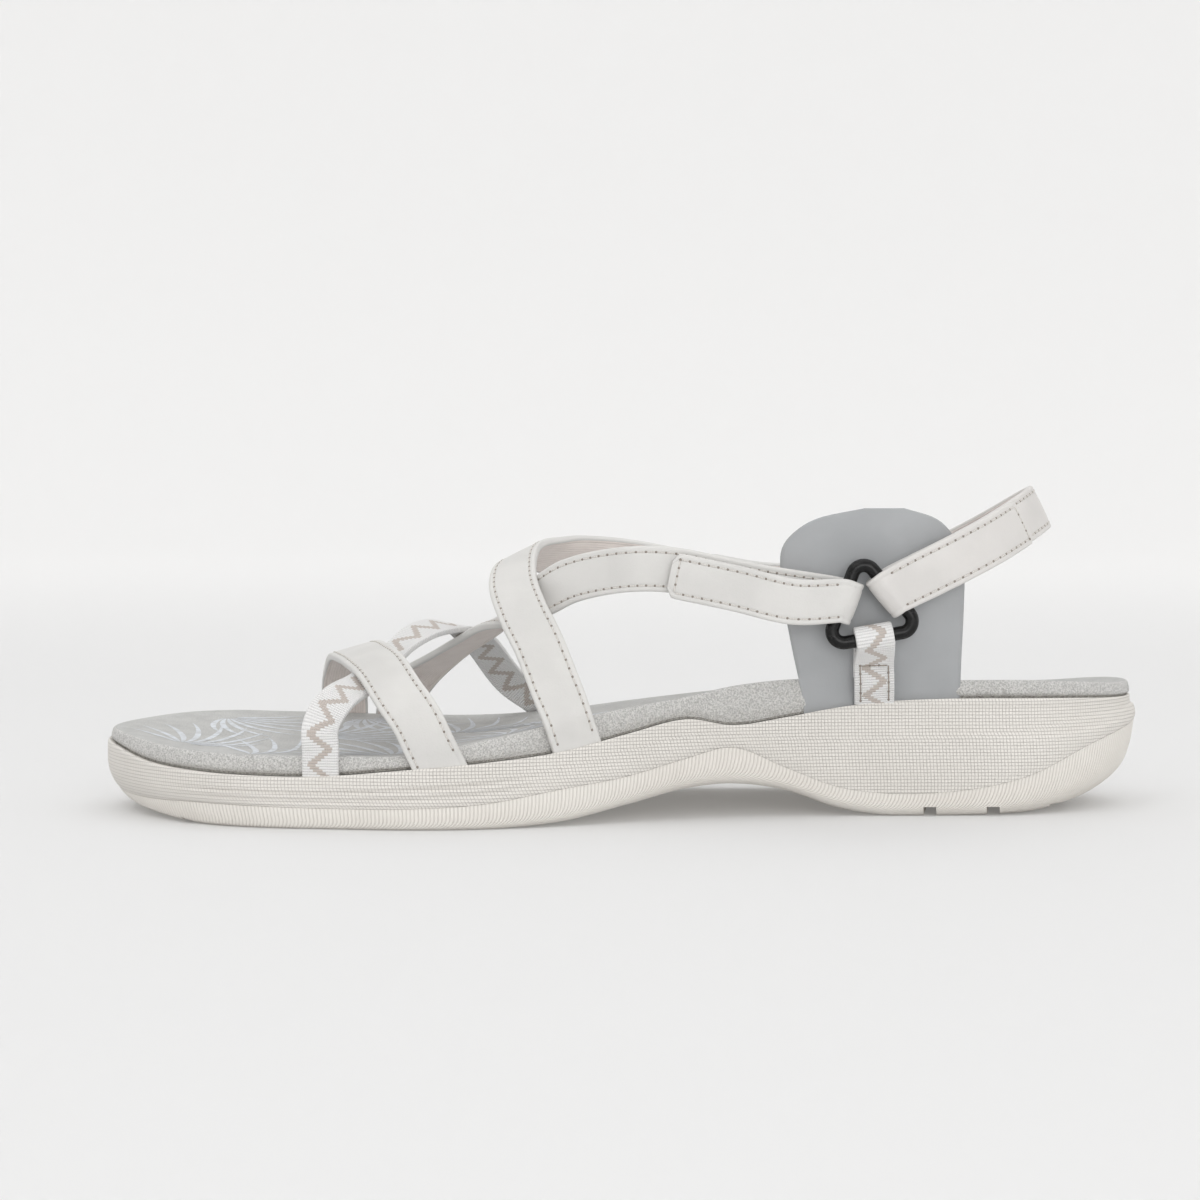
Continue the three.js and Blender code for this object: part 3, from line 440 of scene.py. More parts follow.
def bed_look():
    look = Look("footbed_top", 0.92, Sheen_Weight=0.12)
    weave, soft = look.cells(0.55), look.noise(5, 4)
    base = look.blend(soft, 0.3, 0.75, (0.56, 0.56, 0.545), (0.48, 0.48, 0.47))
    base = look.mix(look.between(weave, 0.0, 0.7, 0.0, 0.3), base, (0.34, 0.34, 0.33))
    return look.done(base, (weave, 0.1), (soft, 0.25))


def print_look():
    look = Look("footbed_print", 0.9)
    base = look.patchy(2.2, (0.7, 0.73, 0.77), (0.58, 0.595, 0.61))
    return look.done(base, (look.cells(0.55), 0.1))


def felt_look():
    look = Look("footbed_side", 0.95, Sheen_Weight=0.2)
    fuzz = look.noise(0.42, 3, rough=0.75)
    # Lighter on the raised fuzz and darker in its hollows: painted shade between the fibres.
    base = look.blend(fuzz, 0.36, 0.64, (0.46, 0.455, 0.44), (0.8, 0.79, 0.77))
    return look.done(base, (fuzz, 0.5), (look.noise(4, 3), 0.6))


def seam_shadow_look():
    # A dark band along the foot of the felted side: painted shadow where the footbed meets the midsole.
    look = Look("footbed_seam_shadow", 0.95)
    fuzz = look.noise(0.5, 3, rough=0.75)
    return look.done(look.blend(fuzz, 0.4, 0.6, (0.26, 0.25, 0.23), (0.46, 0.45, 0.42)), (fuzz, 0.4))


def leather_look(name="leather", tint=(0.69, 0.68, 0.66)):
    look = Look(name, 0.46, Specular_IOR_Level=0.45)
    grain, pores, patches = look.cells(0.5), look.noise(0.28, 2), look.noise(14, 3)
    worn, dark = (tuple(c * share for c in tint) for share in (0.93, 0.8))
    base = look.blend(patches, 0.35, 0.7, tint, worn)
    base = look.mix(look.between(grain, 0.0, 0.6, 0.0, 0.05), base, dark)
    return look.done(base, (grain, 0.03), (pores, 0.015), (patches, 0.25))


def lining_look():
    look = Look("lining", 0.85, Sheen_Weight=0.1)
    ribs = look.wave(look.lay()[1], 0.7)
    base = look.patchy(6, (0.86, 0.79, 0.75), (0.8, 0.73, 0.69))
    # Painted shade: the lining is darker in the grooves between its ribs.
    base = look.groove_shade_and_tint(ribs, 0.5, 0.3, base, (0.56, 0.5, 0.46))
    return look.done(base, (ribs, 0.08), (look.noise(0.3, 2), 0.03))


# Webbing: from rib to rib, half a zigzag along the band, its slope, and the half width that it keeps to
RIB_PITCH, ZIGZAG_PITCH, ZIGZAG_SLOPE, ZIGZAG_REACH = 0.66, 3.7, 1.3, 3.0


def webbing_look():
    look = Look("webbing", 0.85, Sheen_Weight=0.1)
    u, v = look.lay()
    ribs = look.wave(u, RIB_PITCH)
    swing = look.math("PINGPONG", look.math("SNAP", u, RIB_PITCH), ZIGZAG_PITCH)
    swing = look.math("SUBTRACT", swing, ZIGZAG_PITCH / 2)
    off = look.math("ABSOLUTE", look.math("MULTIPLY_ADD", swing, -ZIGZAG_SLOPE, v))
    frayed = look.math("MULTIPLY_ADD", look.noise(0.5, 2), 0.6, off)
    inside = look.between(look.math("ABSOLUTE", v), ZIGZAG_REACH, ZIGZAG_REACH + 0.2, 1.0, 0.0)
    mark = look.math("MULTIPLY", look.between(frayed, 1.35, 1.6, 1.0, 0.0), inside)
    # Painted shade: the white is darker in the grooves between the ribs; the taupe is paler there.
    white = look.groove_shade_and_tint(ribs, 0.5, 0.3, (0.83, 0.825, 0.82), (0.5, 0.49, 0.48))
    taupe = look.groove_shade_and_tint(ribs, 0.6, 0.4, (0.56, 0.5, 0.46), (0.7, 0.675, 0.65))
    return look.done(look.mix(mark, white, taupe), (ribs, 0.2), (look.wave(v, 0.45), 0.05),
                     (look.noise(0.25, 2), 0.04))


def pad_look():
    look = Look("pad", 0.7, Sheen_Weight=0.25, Sheen_Roughness=0.5)
    soft = look.noise(18, 3)
    base = look.blend(soft, 0.3, 0.7, (0.395, 0.405, 0.415), (0.355, 0.365, 0.375))
    return look.done(base, (look.noise(0.3, 1), 0.035), (soft, 0.5))


def plastic_look():
    look = Look("ring_plastic", 0.24, Specular_IOR_Level=0.3)
    scuffs = look.noise(2.5, 4, stretch=(1, 1, 3))
    base = look.blend(scuffs, 0.55, 0.75, (0.003, 0.003, 0.003), (0.012, 0.012, 0.013))
    return look.done(base, (look.noise(0.3, 2), 0.015), (scuffs, 0.02))


def twist_shaded_look(name, tint):
    look = Look(name, 0.7)
    across_x = look.node("ShaderNodeSeparateXYZ", i0=look.place).outputs[0]
    # Darker stripes every 0.4 mm across x: painted shade between the twists of the yarn.
    return look.done(look.mix(look.wave(across_x, 0.4 * MM), tuple(c * 0.7 for c in tint), tint))


# The studio floor's colour grows paler between these distances from the shoe, in metres: painted darker on
# the floor near the shoe and paler out on the wall, which gets less light, so that both look evenly bright.
# It also glows faintly: painted light that lifts the shadows.
NEAR_FLOOR, FAR_FLOOR, FLOOR_GLOW = 0.35, 1.6, 0.12


def floor_look():
    # The faint glow is painted light that lifts the shadows on the floor.
    look = Look("floor", 0.75, Specular_IOR_Level=0.2, Emission_Color=(1, 0.98, 0.95),
                Emission_Strength=FLOOR_GLOW)
    radius = look.node("ShaderNodeVectorMath", i0=look.place)
    radius.operation = "LENGTH"
    # Painted darker near the shoe and paler out on the wall, which gets less light.
    base = look.blend(radius.outputs["Value"], NEAR_FLOOR, FAR_FLOOR, (0.665, 0.667, 0.67), (0.8, 0.8, 0.8))
    return look.done(base, (look.noise(1.5, 2), 0.01))


FOAM, RUBBER, BED, PRINT, FELT = foam_look(), rubber_look(), bed_look(), print_look(), felt_look()
LEATHER, LINING, WEBBING, PAD = leather_look(), lining_look(), webbing_look(), pad_look()
HEEL_LEATHER = leather_look("heel_leather", (0.69, 0.67, 0.65))
PLASTIC = plastic_look()
# Painted shadow along the seam under the footbed's felted side.
SEAM_SHADOW = seam_shadow_look()
THREAD = twist_shaded_look("thread", (0.74, 0.71, 0.67))
DARK_THREAD = twist_shaded_look("dark_thread", (0.36, 0.32, 0.28))
# Needle holes: dark mounds of painted shade.
HOLE_SHADE = twist_shaded_look("stitch_hole_shade", (0.3, 0.265, 0.23))


# Sole
def ring_lay(rings, widest):
    """Along: round the sole at its widest ring; across: the height."""
    widest = rings[widest]
    closed = np.concatenate([widest, widest[:1]])
    run = np.concatenate([[0], np.cumsum(np.linalg.norm(np.diff(closed, axis=0), axis=1))])
    rise = np.stack([np.append(ring[:, 2], ring[0, 2]) for ring in rings])
    return np.stack([np.broadcast_to(run, rise.shape), rise], axis=2)


def across(ring, columns):
    """A grid over the inside of a ring, from the inner side to the outer side."""
    stations = len(ring) // 2
    near = ring[: stations + 1]
    far = np.concatenate([ring[:1], ring[:stations:-1], ring[stations : stations + 1]])
    share = np.linspace(0, 1, columns + 1).reshape(1, -1, 1)
    return lerp(near[:, None], far[:, None], share)


def layer(name, rings, widest, columns, materials, sharp, look=0):
    """A closed mesh from rings round the sole, with a grid over each end."""
    skin = Skin()
    skin.grid(rings, ring_lay(rings, widest), look, around=True)
    for ring in (rings[0], rings[-1]):
        flat = across(ring, columns)
        skin.grid(flat, flat[..., :2])
    return skin.made(name, materials, sharp)


def bed_ring(inset, height):
    return sole_ring(TOE_LEDGE + inset, BED_LEDGE + inset, HEEL_LEDGE + inset, height)


def dished(name, lowered):
    """Rings that dish a layer from inside its edge to its middle, deepest in the heel cup."""
    sink = smooth_curve((0, 4, 10, 18), (0, 0.25, 0.7, 1))
    rings = []
    for away in (1, 2, 3, 4, 5.5, 7, 8.5, 10, 12, 14, 16, 18):
        def height(at, side, away=away):
            dish = lerp(TOE_DISH, 1, smoothstep(at, BALL_PLACE, HEEL_PLACE)) * HEEL_CUP
            return height_of(name, at, side) - lowered - sink(away) * dish

        rings.append(bed_ring(BED_ROUND + away, height))
    return rings


def midsole():
    share = (0, 0.12, 0.24, 0.36, 0.48, 0.56, 0.62, 0.85, 0.96, 1)
    toe = smooth_curve(share, (3, 1.8, 1, 0.4, 0.1, 0, 0, 0, 0.1, 0.5))
    side = smooth_curve(share, (0.4, 0.1, 0, 0, 0, 0, 0, 0, 0.08, 0.5))
    heel = smooth_curve(share, (0.3, 0, 0, 0.1, 0.3, 0.5, 1.2, 1.5, 1.55, 1.9))
    groove = smooth_curve(share, (0, 0, 1, 0, 1, 0, 0, 0, 0, 0))
    rings = []
    for s in np.concatenate([np.linspace(0, 0.9, 46), np.linspace(0.92, 1, 6)]):
        def inset(at, s=s):
            front = smoothstep(at, 0.06, 0.14) * (1 - smoothstep(at, 0.36, 0.44))
            crease = 0.58 - 0.3 * smoothstep(at, 0.82, 0.97)
            step = smoothstep(s, crease, crease + 0.06) * (1 - 0.7 * smoothstep(s, 0.85, 1))
            return side(s) + groove(s) * SIDE_GROOVE * front + step * HEEL_STEP * smoothstep(at, 0.73, 0.8)

        rings.append(sole_ring(toe(s), inset, heel(s), part_way("split", "rim", s, above=0.05)))
    side_rows = len(rings)
    rings += dished("rim", 0.5)
    placed(layer("midsole_foam", rings, side_rows // 2, 6, [FOAM], 60), "foam", "midsole")


def outsole():
    place = (0, 0.1, 0.3, 0.62, 1)
    toe = smooth_curve(place, (6.5, 5.2, 4.4, 3.6, 3))
    side = smooth_curve(place, (2.4, 1.4, 0.9, 0.5, 0.3))
    heel = smooth_curve(place, (18, 10, 4, 1.4, 0.3))
    rings = []
    for s in np.concatenate([np.linspace(0, 0.12, 5), np.linspace(0.16, 1, 14)]):
        rings.append(sole_ring(toe(s), side(s), heel(s), part_way("tread", "split", s)))
    piece = layer("outsole_rubber", rings, len(rings) // 2, 4, [RUBBER], 60)
    cutter = Skin()
    for start, end, count, reach, slant in TREAD_ZONES:
        for at in np.linspace(start, end, count):
            for edge in (MEDIAL, LATERAL):
                low, high = channel(at, edge, reach, slant)
                cutter.grid([low, high], around=True)
                cutter.cap(low)
                cutter.cap(high)
    tool = cutter.made("tread_channels", [RUBBER])
    cut = piece.modifiers.new("channels", "BOOLEAN")
    cut.operation, cut.solver, cut.object, cut.use_self = "DIFFERENCE", "EXACT", tool, True
    applied(piece)
    bpy.data.objects.remove(tool)
    cleaned(piece, 40)
    placed(piece, "rubber", "outsole")


def channel(at, side, reach, slant):
    """The lower and upper corners of a channel across one side of the tread."""
    long, half, turn = reach * BALL_WIDTH, TREAD_CHANNEL / 2, math.radians(side * slant)
    corners = []
    for x, y in ((-half, -long / 2), (half, -long / 2), (half, long / 2), (-half, long / 2)):
        y += side * long * CHANNEL_MIDDLE
        corners.append((x * math.cos(turn) - y * math.sin(turn) + TOE_X + at * LENGTH,
                        x * math.sin(turn) + y * math.cos(turn) + axis_y(at)))
    return [[(x, y, z) for x, y in corners] for z in (-TREAD_DEPTH, TREAD_DEPTH)]


def applied(obj):
    """Writes an object's modifiers into its mesh."""
    graph = bpy.context.evaluated_depsgraph_get()
    mesh = bpy.data.meshes.new_from_object(obj.evaluated_get(graph), depsgraph=graph)
    obj.modifiers.clear()
    obj.data = mesh


def insole():
    """The footbed: a felted side over a painted seam shadow, a rounded edge and a dished top."""
    below = dished("rim", 0.2)[::-1]
    rings = list(below)
    for lift in (-0.2, SEAM_SHADOW_HEIGHT):
        rings.append(bed_ring(0.5, part_way("rim", "bed", 0, above=lift)))
    for s in (0.25, 0.5, 0.75):
        rings.append(bed_ring(-0.25 * math.sin(math.pi * s), part_way("rim", "bed", s, below=BED_ROUND)))
    for turn in np.radians(np.linspace(0, 90, 6)):
        drop = BED_ROUND * (1 - math.sin(turn))
        rings.append(bed_ring(BED_ROUND * (1 - math.cos(turn)), part_way("rim", "bed", 1, below=drop)))
    felt_end = len(rings) - 2
    rings += dished("bed", 0)
    looks = np.zeros((len(rings) - 1, 2 * STATIONS), int)
    # The underside and the lowest row of the side take the painted seam shadow.
    looks[: len(below) + 1] = 2
    looks[len(below) + 1 : felt_end] = 1
    piece = layer("footbed", rings, len(below), 20, [BED, FELT, SEAM_SHADOW], 70, looks)
    placed(piece, "footbed", "insole")
    return piece


# Straps
def route(points, steps):
    """Points along the centripetal curve through the knots, with this many steps between two knots."""
    knots = np.concatenate([[2 * points[0] - points[1]], points, [2 * points[-1] - points[-2]]])
    out = []
    for i in range(1, len(knots) - 2):
        p0, p1, p2, p3 = knots[i - 1 : i + 3]
        d0, d1, d2 = (max(np.linalg.norm(b - a) ** 0.5, 1e-4) for a, b in ((p0, p1), (p1, p2), (p2, p3)))
        start = ((p1 - p0) / d0 - (p2 - p0) / (d0 + d1) + (p2 - p1) / d1) * d1
        end = ((p2 - p1) / d1 - (p3 - p1) / (d1 + d2) + (p3 - p2) / d2) * d1
        last = i == len(knots) - 3
        for t in np.arange(steps + (1 if last else 0)) / steps:
            square, cube = 3 * (p2 - p1) - 2 * start - end, 2 * (p1 - p2) + start + end
            out.append(p1 + start * t + square * t**2 + cube * t**3)
    return np.array(out)


class Band:
    """A flat strap along its knots of (point, outward normal, taper)."""

    def __init__(self, knots, width, wall=STRAP_WALL, eased=2):
        points = np.array([k[0] for k in knots], float)
        self.width, self.wall, self.lift = width, wall, 0.0
        self.point = route(points, STRAP_STEPS)
        t = np.arange(len(self.point)) / STRAP_STEPS
        order = np.arange(len(knots))
        normal = smooth_curve(order, [k[1] for k in knots])(t)
        self.taper = np.interp(t, order, [k[2] for k in knots])
        for _ in range(eased):
            for row in (self.point, normal):
                row[1:-1] = (row[:-2] + 2 * row[1:-1] + row[2:]) / 4
        along = np.gradient(self.point, axis=0)
        self.along = along / np.linalg.norm(along, axis=1, keepdims=True)
        normal -= self.along * np.sum(normal * self.along, axis=1, keepdims=True)
        self.normal = normal / np.linalg.norm(normal, axis=1, keepdims=True)
        self.wide = np.cross(self.along, self.normal)
        self.run = np.concatenate([[0], np.cumsum(np.linalg.norm(np.diff(self.point, axis=0), axis=1))])

    def at_knot(self, knot):
        return self.run[min(knot * STRAP_STEPS, len(self.run) - 1)]

    def at(self, run, wide, out):
        """A point on the band, and the ways along and out there."""
        point, along, normal, side = (
            np.array([np.interp(run, self.run, row[:, c]) for c in range(3)])
            for row in (self.point, self.along, self.normal, self.wide)
        )
        taper = np.interp(run, self.run, self.taper)
        return point + side * wide * taper + normal * out, along, normal

    def section(self, round_edge, crown, groove):
        """The section from the outer face round to the inner one: wide, out, and which face it is on."""
        half, thick, r = self.width / 2, self.wall / 2, round_edge
        stops = [r, 1.0, 1.25, STITCH_INSET, 1.75, 2.0, 2.6, 3.8, half]
        wide = np.array([-(half - s) for s in stops] + [half - s for s in reversed(stops[:-1])])
        inner = np.clip(1 - (wide / (half - STITCH_INSET)) ** 2, 0, 1)
        relief = crown * inner - groove * np.exp(-((np.abs(wide) - (half - STITCH_INSET)) / 0.3) ** 2)
        turns = np.radians([70, 45, 20, 0])
        corner = [(half - r + r * math.cos(a), thick - r + r * math.sin(a)) for a in turns]
        outer = [(w, thick + o, 0) for w, o in zip(wide, relief)]
        right = [(w, o, 1) for w, o in corner] + [(w, -o, 1) for w, o in reversed(corner)]
        inner_face = [(w, -thick - o, 2) for w, o in zip(wide[::-1], relief[::-1])]
        left = [(-w, -o, 1) for w, o in corner] + [(-w, o, 1) for w, o in reversed(corner)]
        return outer + right + inner_face + left

    def skin(self, round_edge=0.6, crown=0.12, groove=0.14, tip_round=0.0, start_round=0.0, lined=None):
        section = self.section(round_edge, crown, groove)
        wide, out, face = np.array(section).T
        factor = np.ones(len(self.run))
        for size, left in ((start_round, self.run), (tip_round, self.run[-1] - self.run)):
            if size:
                short = np.clip(1 - left / size, 0, 1)
                factor = np.minimum(factor, 1 - size * (1 - np.sqrt(1 - short**2)) / (self.width / 2))
        spread = (self.taper * factor)[:, None] * wide[None]
        points = (self.point[:, None] + self.wide[:, None] * spread[..., None]
                  + self.normal[:, None] * out[None, :, None])
        lay = np.stack(np.meshgrid(self.run, np.append(wide, wide[0]), indexing="ij"), axis=2)
        looks = np.zeros((len(self.run) - 1, len(section)), int)
        if lined:
            inside = (self.run[:-1] >= lined[0]) & (self.run[:-1] < lined[1])
            next_face = np.roll(face, -1)
            looks[np.ix_(inside, (face == 2) & (next_face == 2))] = 1
        skin = Skin()
        skin.grid(points, lay, look=looks, around=True)
        skin.cap(points[0])
        skin.cap(points[-1])
        return skin


# A stitch's rings: share of its length, radius, lift. A needle hole's rings, a dark mound of painted shade:
# radius, lift.
STITCH_RINGS = ((0.0, 0.05, 0.0), (0.08, 0.16, 0.06), (0.5, 0.2, 0.1), (0.92, 0.16, 0.06), (1.0, 0.05, 0.0))
HOLE_RINGS = ((0.42, -0.1), (0.36, 0.05), (0.03, 0.1))
STITCH_SIDES, STITCH_SINK, STITCH_GAP = 6, 0.12, 0.18
HOLE_LIFT, HOLE_FLATNESS = 0.05, 0.85


def stitches(name, rows, slot="leather", yarn=THREAD):
    """Rows of stitches, each (band, start, end, wide, face): threads in the groove between needle holes,
    which are dark mounds of painted shade.
    """
    thread, hole_shade = Skin(), Skin()
    for band, start, end, wide, face in rows:
        count = max(1, round((end - start) / STITCH_PITCH))
        pitch = (end - start) / count
        out = face * (band.wall / 2 - STITCH_SINK + band.lift)
        for i in range(count):
            low, high = start + i * pitch + STITCH_GAP, start + (i + 1) * pitch - STITCH_GAP
            rings = []
            for share, size, lift in STITCH_RINGS:
                point, along, normal = band.at(lerp(low, high, share), wide, out + face * lift)
                rings.append(hoop(point, size * np.cross(along, normal), size * normal, STITCH_SIDES))
            thread.grid(rings, around=True)
            point, along, normal = band.at(start + i * pitch, wide, out + face * HOLE_LIFT)
            side = np.cross(along, normal) * HOLE_FLATNESS
            hole_shade.grid([hoop(point + normal * face * lift, size * along, size * side, STITCH_SIDES)
                       for size, lift in HOLE_RINGS], around=True)
    placed(thread.made(name + "_thread", [yarn], 80), slot)
    placed(hole_shade.made(name + "_hole_shades", [HOLE_SHADE], 80), slot)


def edge_rows(band, start, end, face=1):
    inset = band.width / 2 - STITCH_INSET
    return [(band, start, end, inset, face), (band, start, end, -inset, face)]


# Stitches on a flat face lie this much higher than those in a groove.
CROSSING_LIFT, LOOP_STITCH_LIFT = 0.16, 0.14


def end_row(band, run, face=-1):
    """A row of stitches across a band."""
    crossing = Crossing(band, run)
    return [(crossing, 0, crossing.length, 0.0, face)]


class Crossing:
    """A short band laid across another one, for a row of stitches over its end."""

    def __init__(self, band, run):
        half = band.width / 2 - STITCH_INSET
        self.wall, self.lift = band.wall, CROSSING_LIFT
        self.points = [band.at(run, w, 0) for w in (-half, half)]
        self.length = float(np.linalg.norm(self.points[1][0] - self.points[0][0]))

    def at(self, run, wide, out):
        (a, _, normal), (b, _, _) = self.points
        along = (b - a) / self.length
        side = np.cross(along, normal)
        return a + along * run + side * wide + normal * out, along, normal


def laid(rows):
    """Knots of a strap from its route."""
    knots = []
    for along, over, up, turn, tip in rows:
        a, b = math.radians(turn), math.radians(tip)
        normal = np.array([-math.sin(b), -math.cos(a) * math.cos(b), math.sin(a) * math.cos(b)])
        point = np.array([TOE_X + along * LENGTH, over * BALL_WIDTH, up * INSTEP_HEIGHT])
        knots.append((point, normal, 1.0))
    return knots


def out_of_edge(x, side):
    rise = (edge_y(x + 1, side) - edge_y(x - 1, side)) / 2
    return unit(np.array([-side * rise, side, 0.0]))


def tucked(along, side, wall=STRAP_WALL, slant=0.0):
    """Knots where a strap leaves the seam; slant leans it to the toe as it rises."""
    rim = height_of("rim", along, side)
    low, high = rim - STRAP_TUCK, height_of("bed", along, side) + 1
    knots = []
    for z in (low, (low + high) / 2, high):
        x = TOE_X + along * LENGTH - slant * (z - rim)
        normal = out_of_edge(x, side)
        knots.append((np.array([x, edge_y(x, side), z]) - (RIM_LEDGE - wall / 2) * normal, normal, 1.0))
    return knots


def over_foot(seams, rows, wall=STRAP_WALL, slant=0.0):
    """Knots of a strap from the inner seam to the outer one."""
    return tucked(seams[0], MEDIAL, wall, slant) + laid(rows) + tucked(seams[1], LATERAL, wall)[::-1]


def turned_over(knots):
    return [(p, -n, t) for p, n, t in knots]


def sewn_back(knots):
    return [(p + n * (STRAP_WALL + FIT_GAP), -n, t) for p, n, t in knots]


def ring_centre(side):
    return np.array([TOE_X + RING_PLACE, ANKLE_SHIFT + side * ANKLE_SPAN / 2, ANKLE_HEIGHT])


def flat_way(angle):
    a = math.radians(angle)
    return np.array([math.cos(a), 0.0, math.sin(a)])


def ring_corner(side, name):
    return ring_centre(side) + flat_way(RING_ANGLES[name]) * RING_SIDE / math.sqrt(3)


def ring_bar(side, start, end):
    middle = (ring_corner(side, start) + ring_corner(side, end)) / 2
    out = unit(middle - ring_centre(side))
    return middle + out * RING_CORNER, out


def round_bar(side, bar, wall=STRAP_WALL, turn=180):
    """Knots of a strap that passes round a bar of a ring, from its outside."""
    middle, out = bar
    radius = RING_BAR / 2 + FIT_GAP + wall / 2
    outside = np.array([0.0, side, 0.0])
    knots = []
    for a in np.radians(np.arange(0, turn + 1, 22.5)):
        radial = -outside * math.cos(a) - out * math.sin(a)
        knots.append((middle + radial * radius, -radial, BAR_TAPER))
    return knots


def pad_face(x, z, side):
    """The outer face of an ankle pad: from the seam beside the footbed it leans out to the rings."""
    at = (x - TOE_X) / LENGTH
    base = height_of("rim", at, side)
    seam = edge_y(x, side) - side * (RIM_LIP + WEBBING_WALL + FIT_GAP + LOOP_SLACK)
    ring_inside = ANKLE_SPAN / 2 - (RING_BAR / 2 + 2 * FIT_GAP + STRAP_WALL)
    along = np.clip((x - TOE_X - pad_start(side)) / PAD_WIDTH, 0, 1)
    curl = np.where(along > 0.5, PAD_BACK_CURL, PAD_FRONT_CURL) * (2 * along - 1) ** 2
    lean = smoothstep(z, base, base + PAD_LEAN_RISE)
    return lerp(seam, ANKLE_SHIFT + side * (ring_inside - curl), lean)


def pad_start(side):
    return PAD_FRONT + (OUTER_PAD_BACK if side == LATERAL else 0)


def pad_top(side):
    return PAD_TOP - (OUTER_PAD_DROP if side == LATERAL else 0)


def ring_loop(side):
    along, x = LOOP_PLACE / LENGTH, TOE_X + LOOP_PLACE
    outside = np.array([0.0, side, 0.0])
    rim = float(height_of("rim", along, side))
    bar = ring_bar(side, "front", "back")

    def spot(share, layers):
        z, at_x = lerp(rim, bar[0][2], share), lerp(x, bar[0][0], share)
        away = (layers - 0.5) * WEBBING_WALL + layers * FIT_GAP + LOOP_SLACK
        return np.array([at_x, pad_face(at_x, z, side) + side * away, z])

    seam = np.array([x, edge_y(x, side) - side * (RIM_LIP + WEBBING_WALL / 2), rim])
    up = [seam - (0, 0, STRAP_TUCK), seam, spot(0.3, 2), spot(0.6, 2)]
    down = [spot(0.55, 1), spot(0.4, 1)]
    return ([(p, outside, 1.0) for p in up]
            + turned_over(round_bar(side, bar, WEBBING_WALL, LOOP_TURN)[::-1])
            + [(p, -outside, 1.0) for p in down])


def heel_half(side):
    """Knots of the heel strap from one ring to the middle of the back."""
    bar = ring_bar(side, "top", "back")[0]
    back_x = TOE_X + HEEL_STRAP_BACK
    centre_x = lerp(bar[0], back_x, 0.45)
    slope = (HEEL_STRAP_RISE - bar[2]) / (back_x - bar[0])
    knots = []
    for back, out in HEEL_STRAP:
        x, z = lerp(bar[0], back_x, back), lerp(bar[2], HEEL_STRAP_RISE, back)
        if side == LATERAL:
            z -= FAR_SAG * math.sin(math.pi * min(back, 1))
        forward, beside = max(x - centre_x, 0), side * out * ANKLE_SPAN / 2
        normal = np.array([forward, beside, forward * slope])
        knots.append((np.array([x, ANKLE_SHIFT + beside, z]), unit(normal), 1.0))
    return knots


def leather_band(name, band, node, lined, outside=LEATHER, **rounds):
    placed(band.skin(lined=lined, **rounds).made(name, [outside, LINING]), "leather", node)


def webbing_band(name, band, node):
    placed(band.skin(round_edge=0.5, crown=0.0, groove=0.0).made(name, [WEBBING]), "webbing", node)


def straps():
    far_bar, near_bar = ring_bar(LATERAL, "top", "front"), ring_bar(MEDIAL, "top", "front")
    front = Band(over_foot(FRONT_SEAMS, FRONT_STRAP, slant=FRONT_SLANT), STRAP_WIDTH)
    toe = Band(over_foot(TOE_SEAMS, TOE_WEBBING, WEBBING_WALL), TOE_WEBBING_WIDTH, WEBBING_WALL)
    instep_knots = tucked(INSTEP_SEAM, MEDIAL, slant=INSTEP_SLANT) + laid(INSTEP_STRAP)
    instep_bar = round_bar(LATERAL, far_bar)
    instep_tab = sewn_back(laid(INSTEP_STRAP)[-2:][::-1])
    instep = Band(instep_knots + instep_bar + instep_tab, STRAP_WIDTH)
    cross_knots = tucked(CROSS_SEAM, LATERAL) + laid(CROSS_STRAP)
    cross_bar = round_bar(MEDIAL, near_bar)
    cross = Band(cross_knots + cross_bar + turned_over(laid(CROSS_TAB)), CROSS_STRAP_WIDTH)

    instep_turn, cross_turn = instep.at_knot(len(instep_knots)), cross.at_knot(len(cross_knots))
    leather_band("front_strap", front, "upper", (0, front.run[-1]))
    webbing_band("toe_webbing", toe, "upper")
    leather_band("instep_strap", instep, "upper", (0, instep_turn), tip_round=TAB_ROUND)
    leather_band("crossing_strap", cross, "upper", (0, cross_turn), tip_round=TAB_ROUND)

    after_instep = instep.at_knot(len(instep_knots) + len(instep_bar) - 1) + TAB_START
    after_cross = cross.at_knot(len(cross_knots) + len(cross_bar) - 1) + TAB_START
    end = cross.run[-1] - STITCH_INSET - TAB_HEM
    rows = (edge_rows(front, SEAM_HIDDEN, front.run[-1] - SEAM_HIDDEN)
            + edge_rows(instep, SEAM_HIDDEN, instep_turn - 1)
            + edge_rows(instep, after_instep, instep.run[-1] - STITCH_INSET, -1)
            + edge_rows(cross, SEAM_HIDDEN, cross_turn - 1)
            + edge_rows(cross, after_cross, end, -1)
            + end_row(cross, end))
    stitches("upper_stitches", rows)


def heel_strap():
    inner, outer = heel_half(MEDIAL), heel_half(LATERAL)
    far_tab = sewn_back(outer[:2])[::-1]
    far_turn = round_bar(LATERAL, ring_bar(LATERAL, "top", "back"))[::-1]
    near_turn = round_bar(MEDIAL, ring_bar(MEDIAL, "top", "back"))
    near_tab = sewn_back(inner[:TAB_KNOTS])
    knots = far_tab + far_turn + outer[:-1] + inner[::-1] + near_turn + near_tab
    band = Band(knots, HEEL_STRAP_WIDTH, eased=8)
    start = band.at_knot(len(far_tab) + len(far_turn) - 1)
    end = band.at_knot(len(knots) - len(near_tab) - len(near_turn))
    leather_band("heel_band", band, "heel_strap", (start, end), HEEL_LEATHER, tip_round=HEEL_TAB_ROUND,
                 start_round=HEEL_TAB_ROUND)
    tab_start = band.at_knot(len(knots) - len(near_tab) - 1) + TAB_START
    tab_end = band.run[-1] - STITCH_INSET - TAB_HEM
    rows = (edge_rows(band, start + 2, end - 2)
            + edge_rows(band, tab_start, tab_end, -1)
            + edge_rows(band, 2, band.at_knot(len(far_tab) - 1), -1)
            + end_row(band, tab_end))
    stitches("heel_stitches", rows)


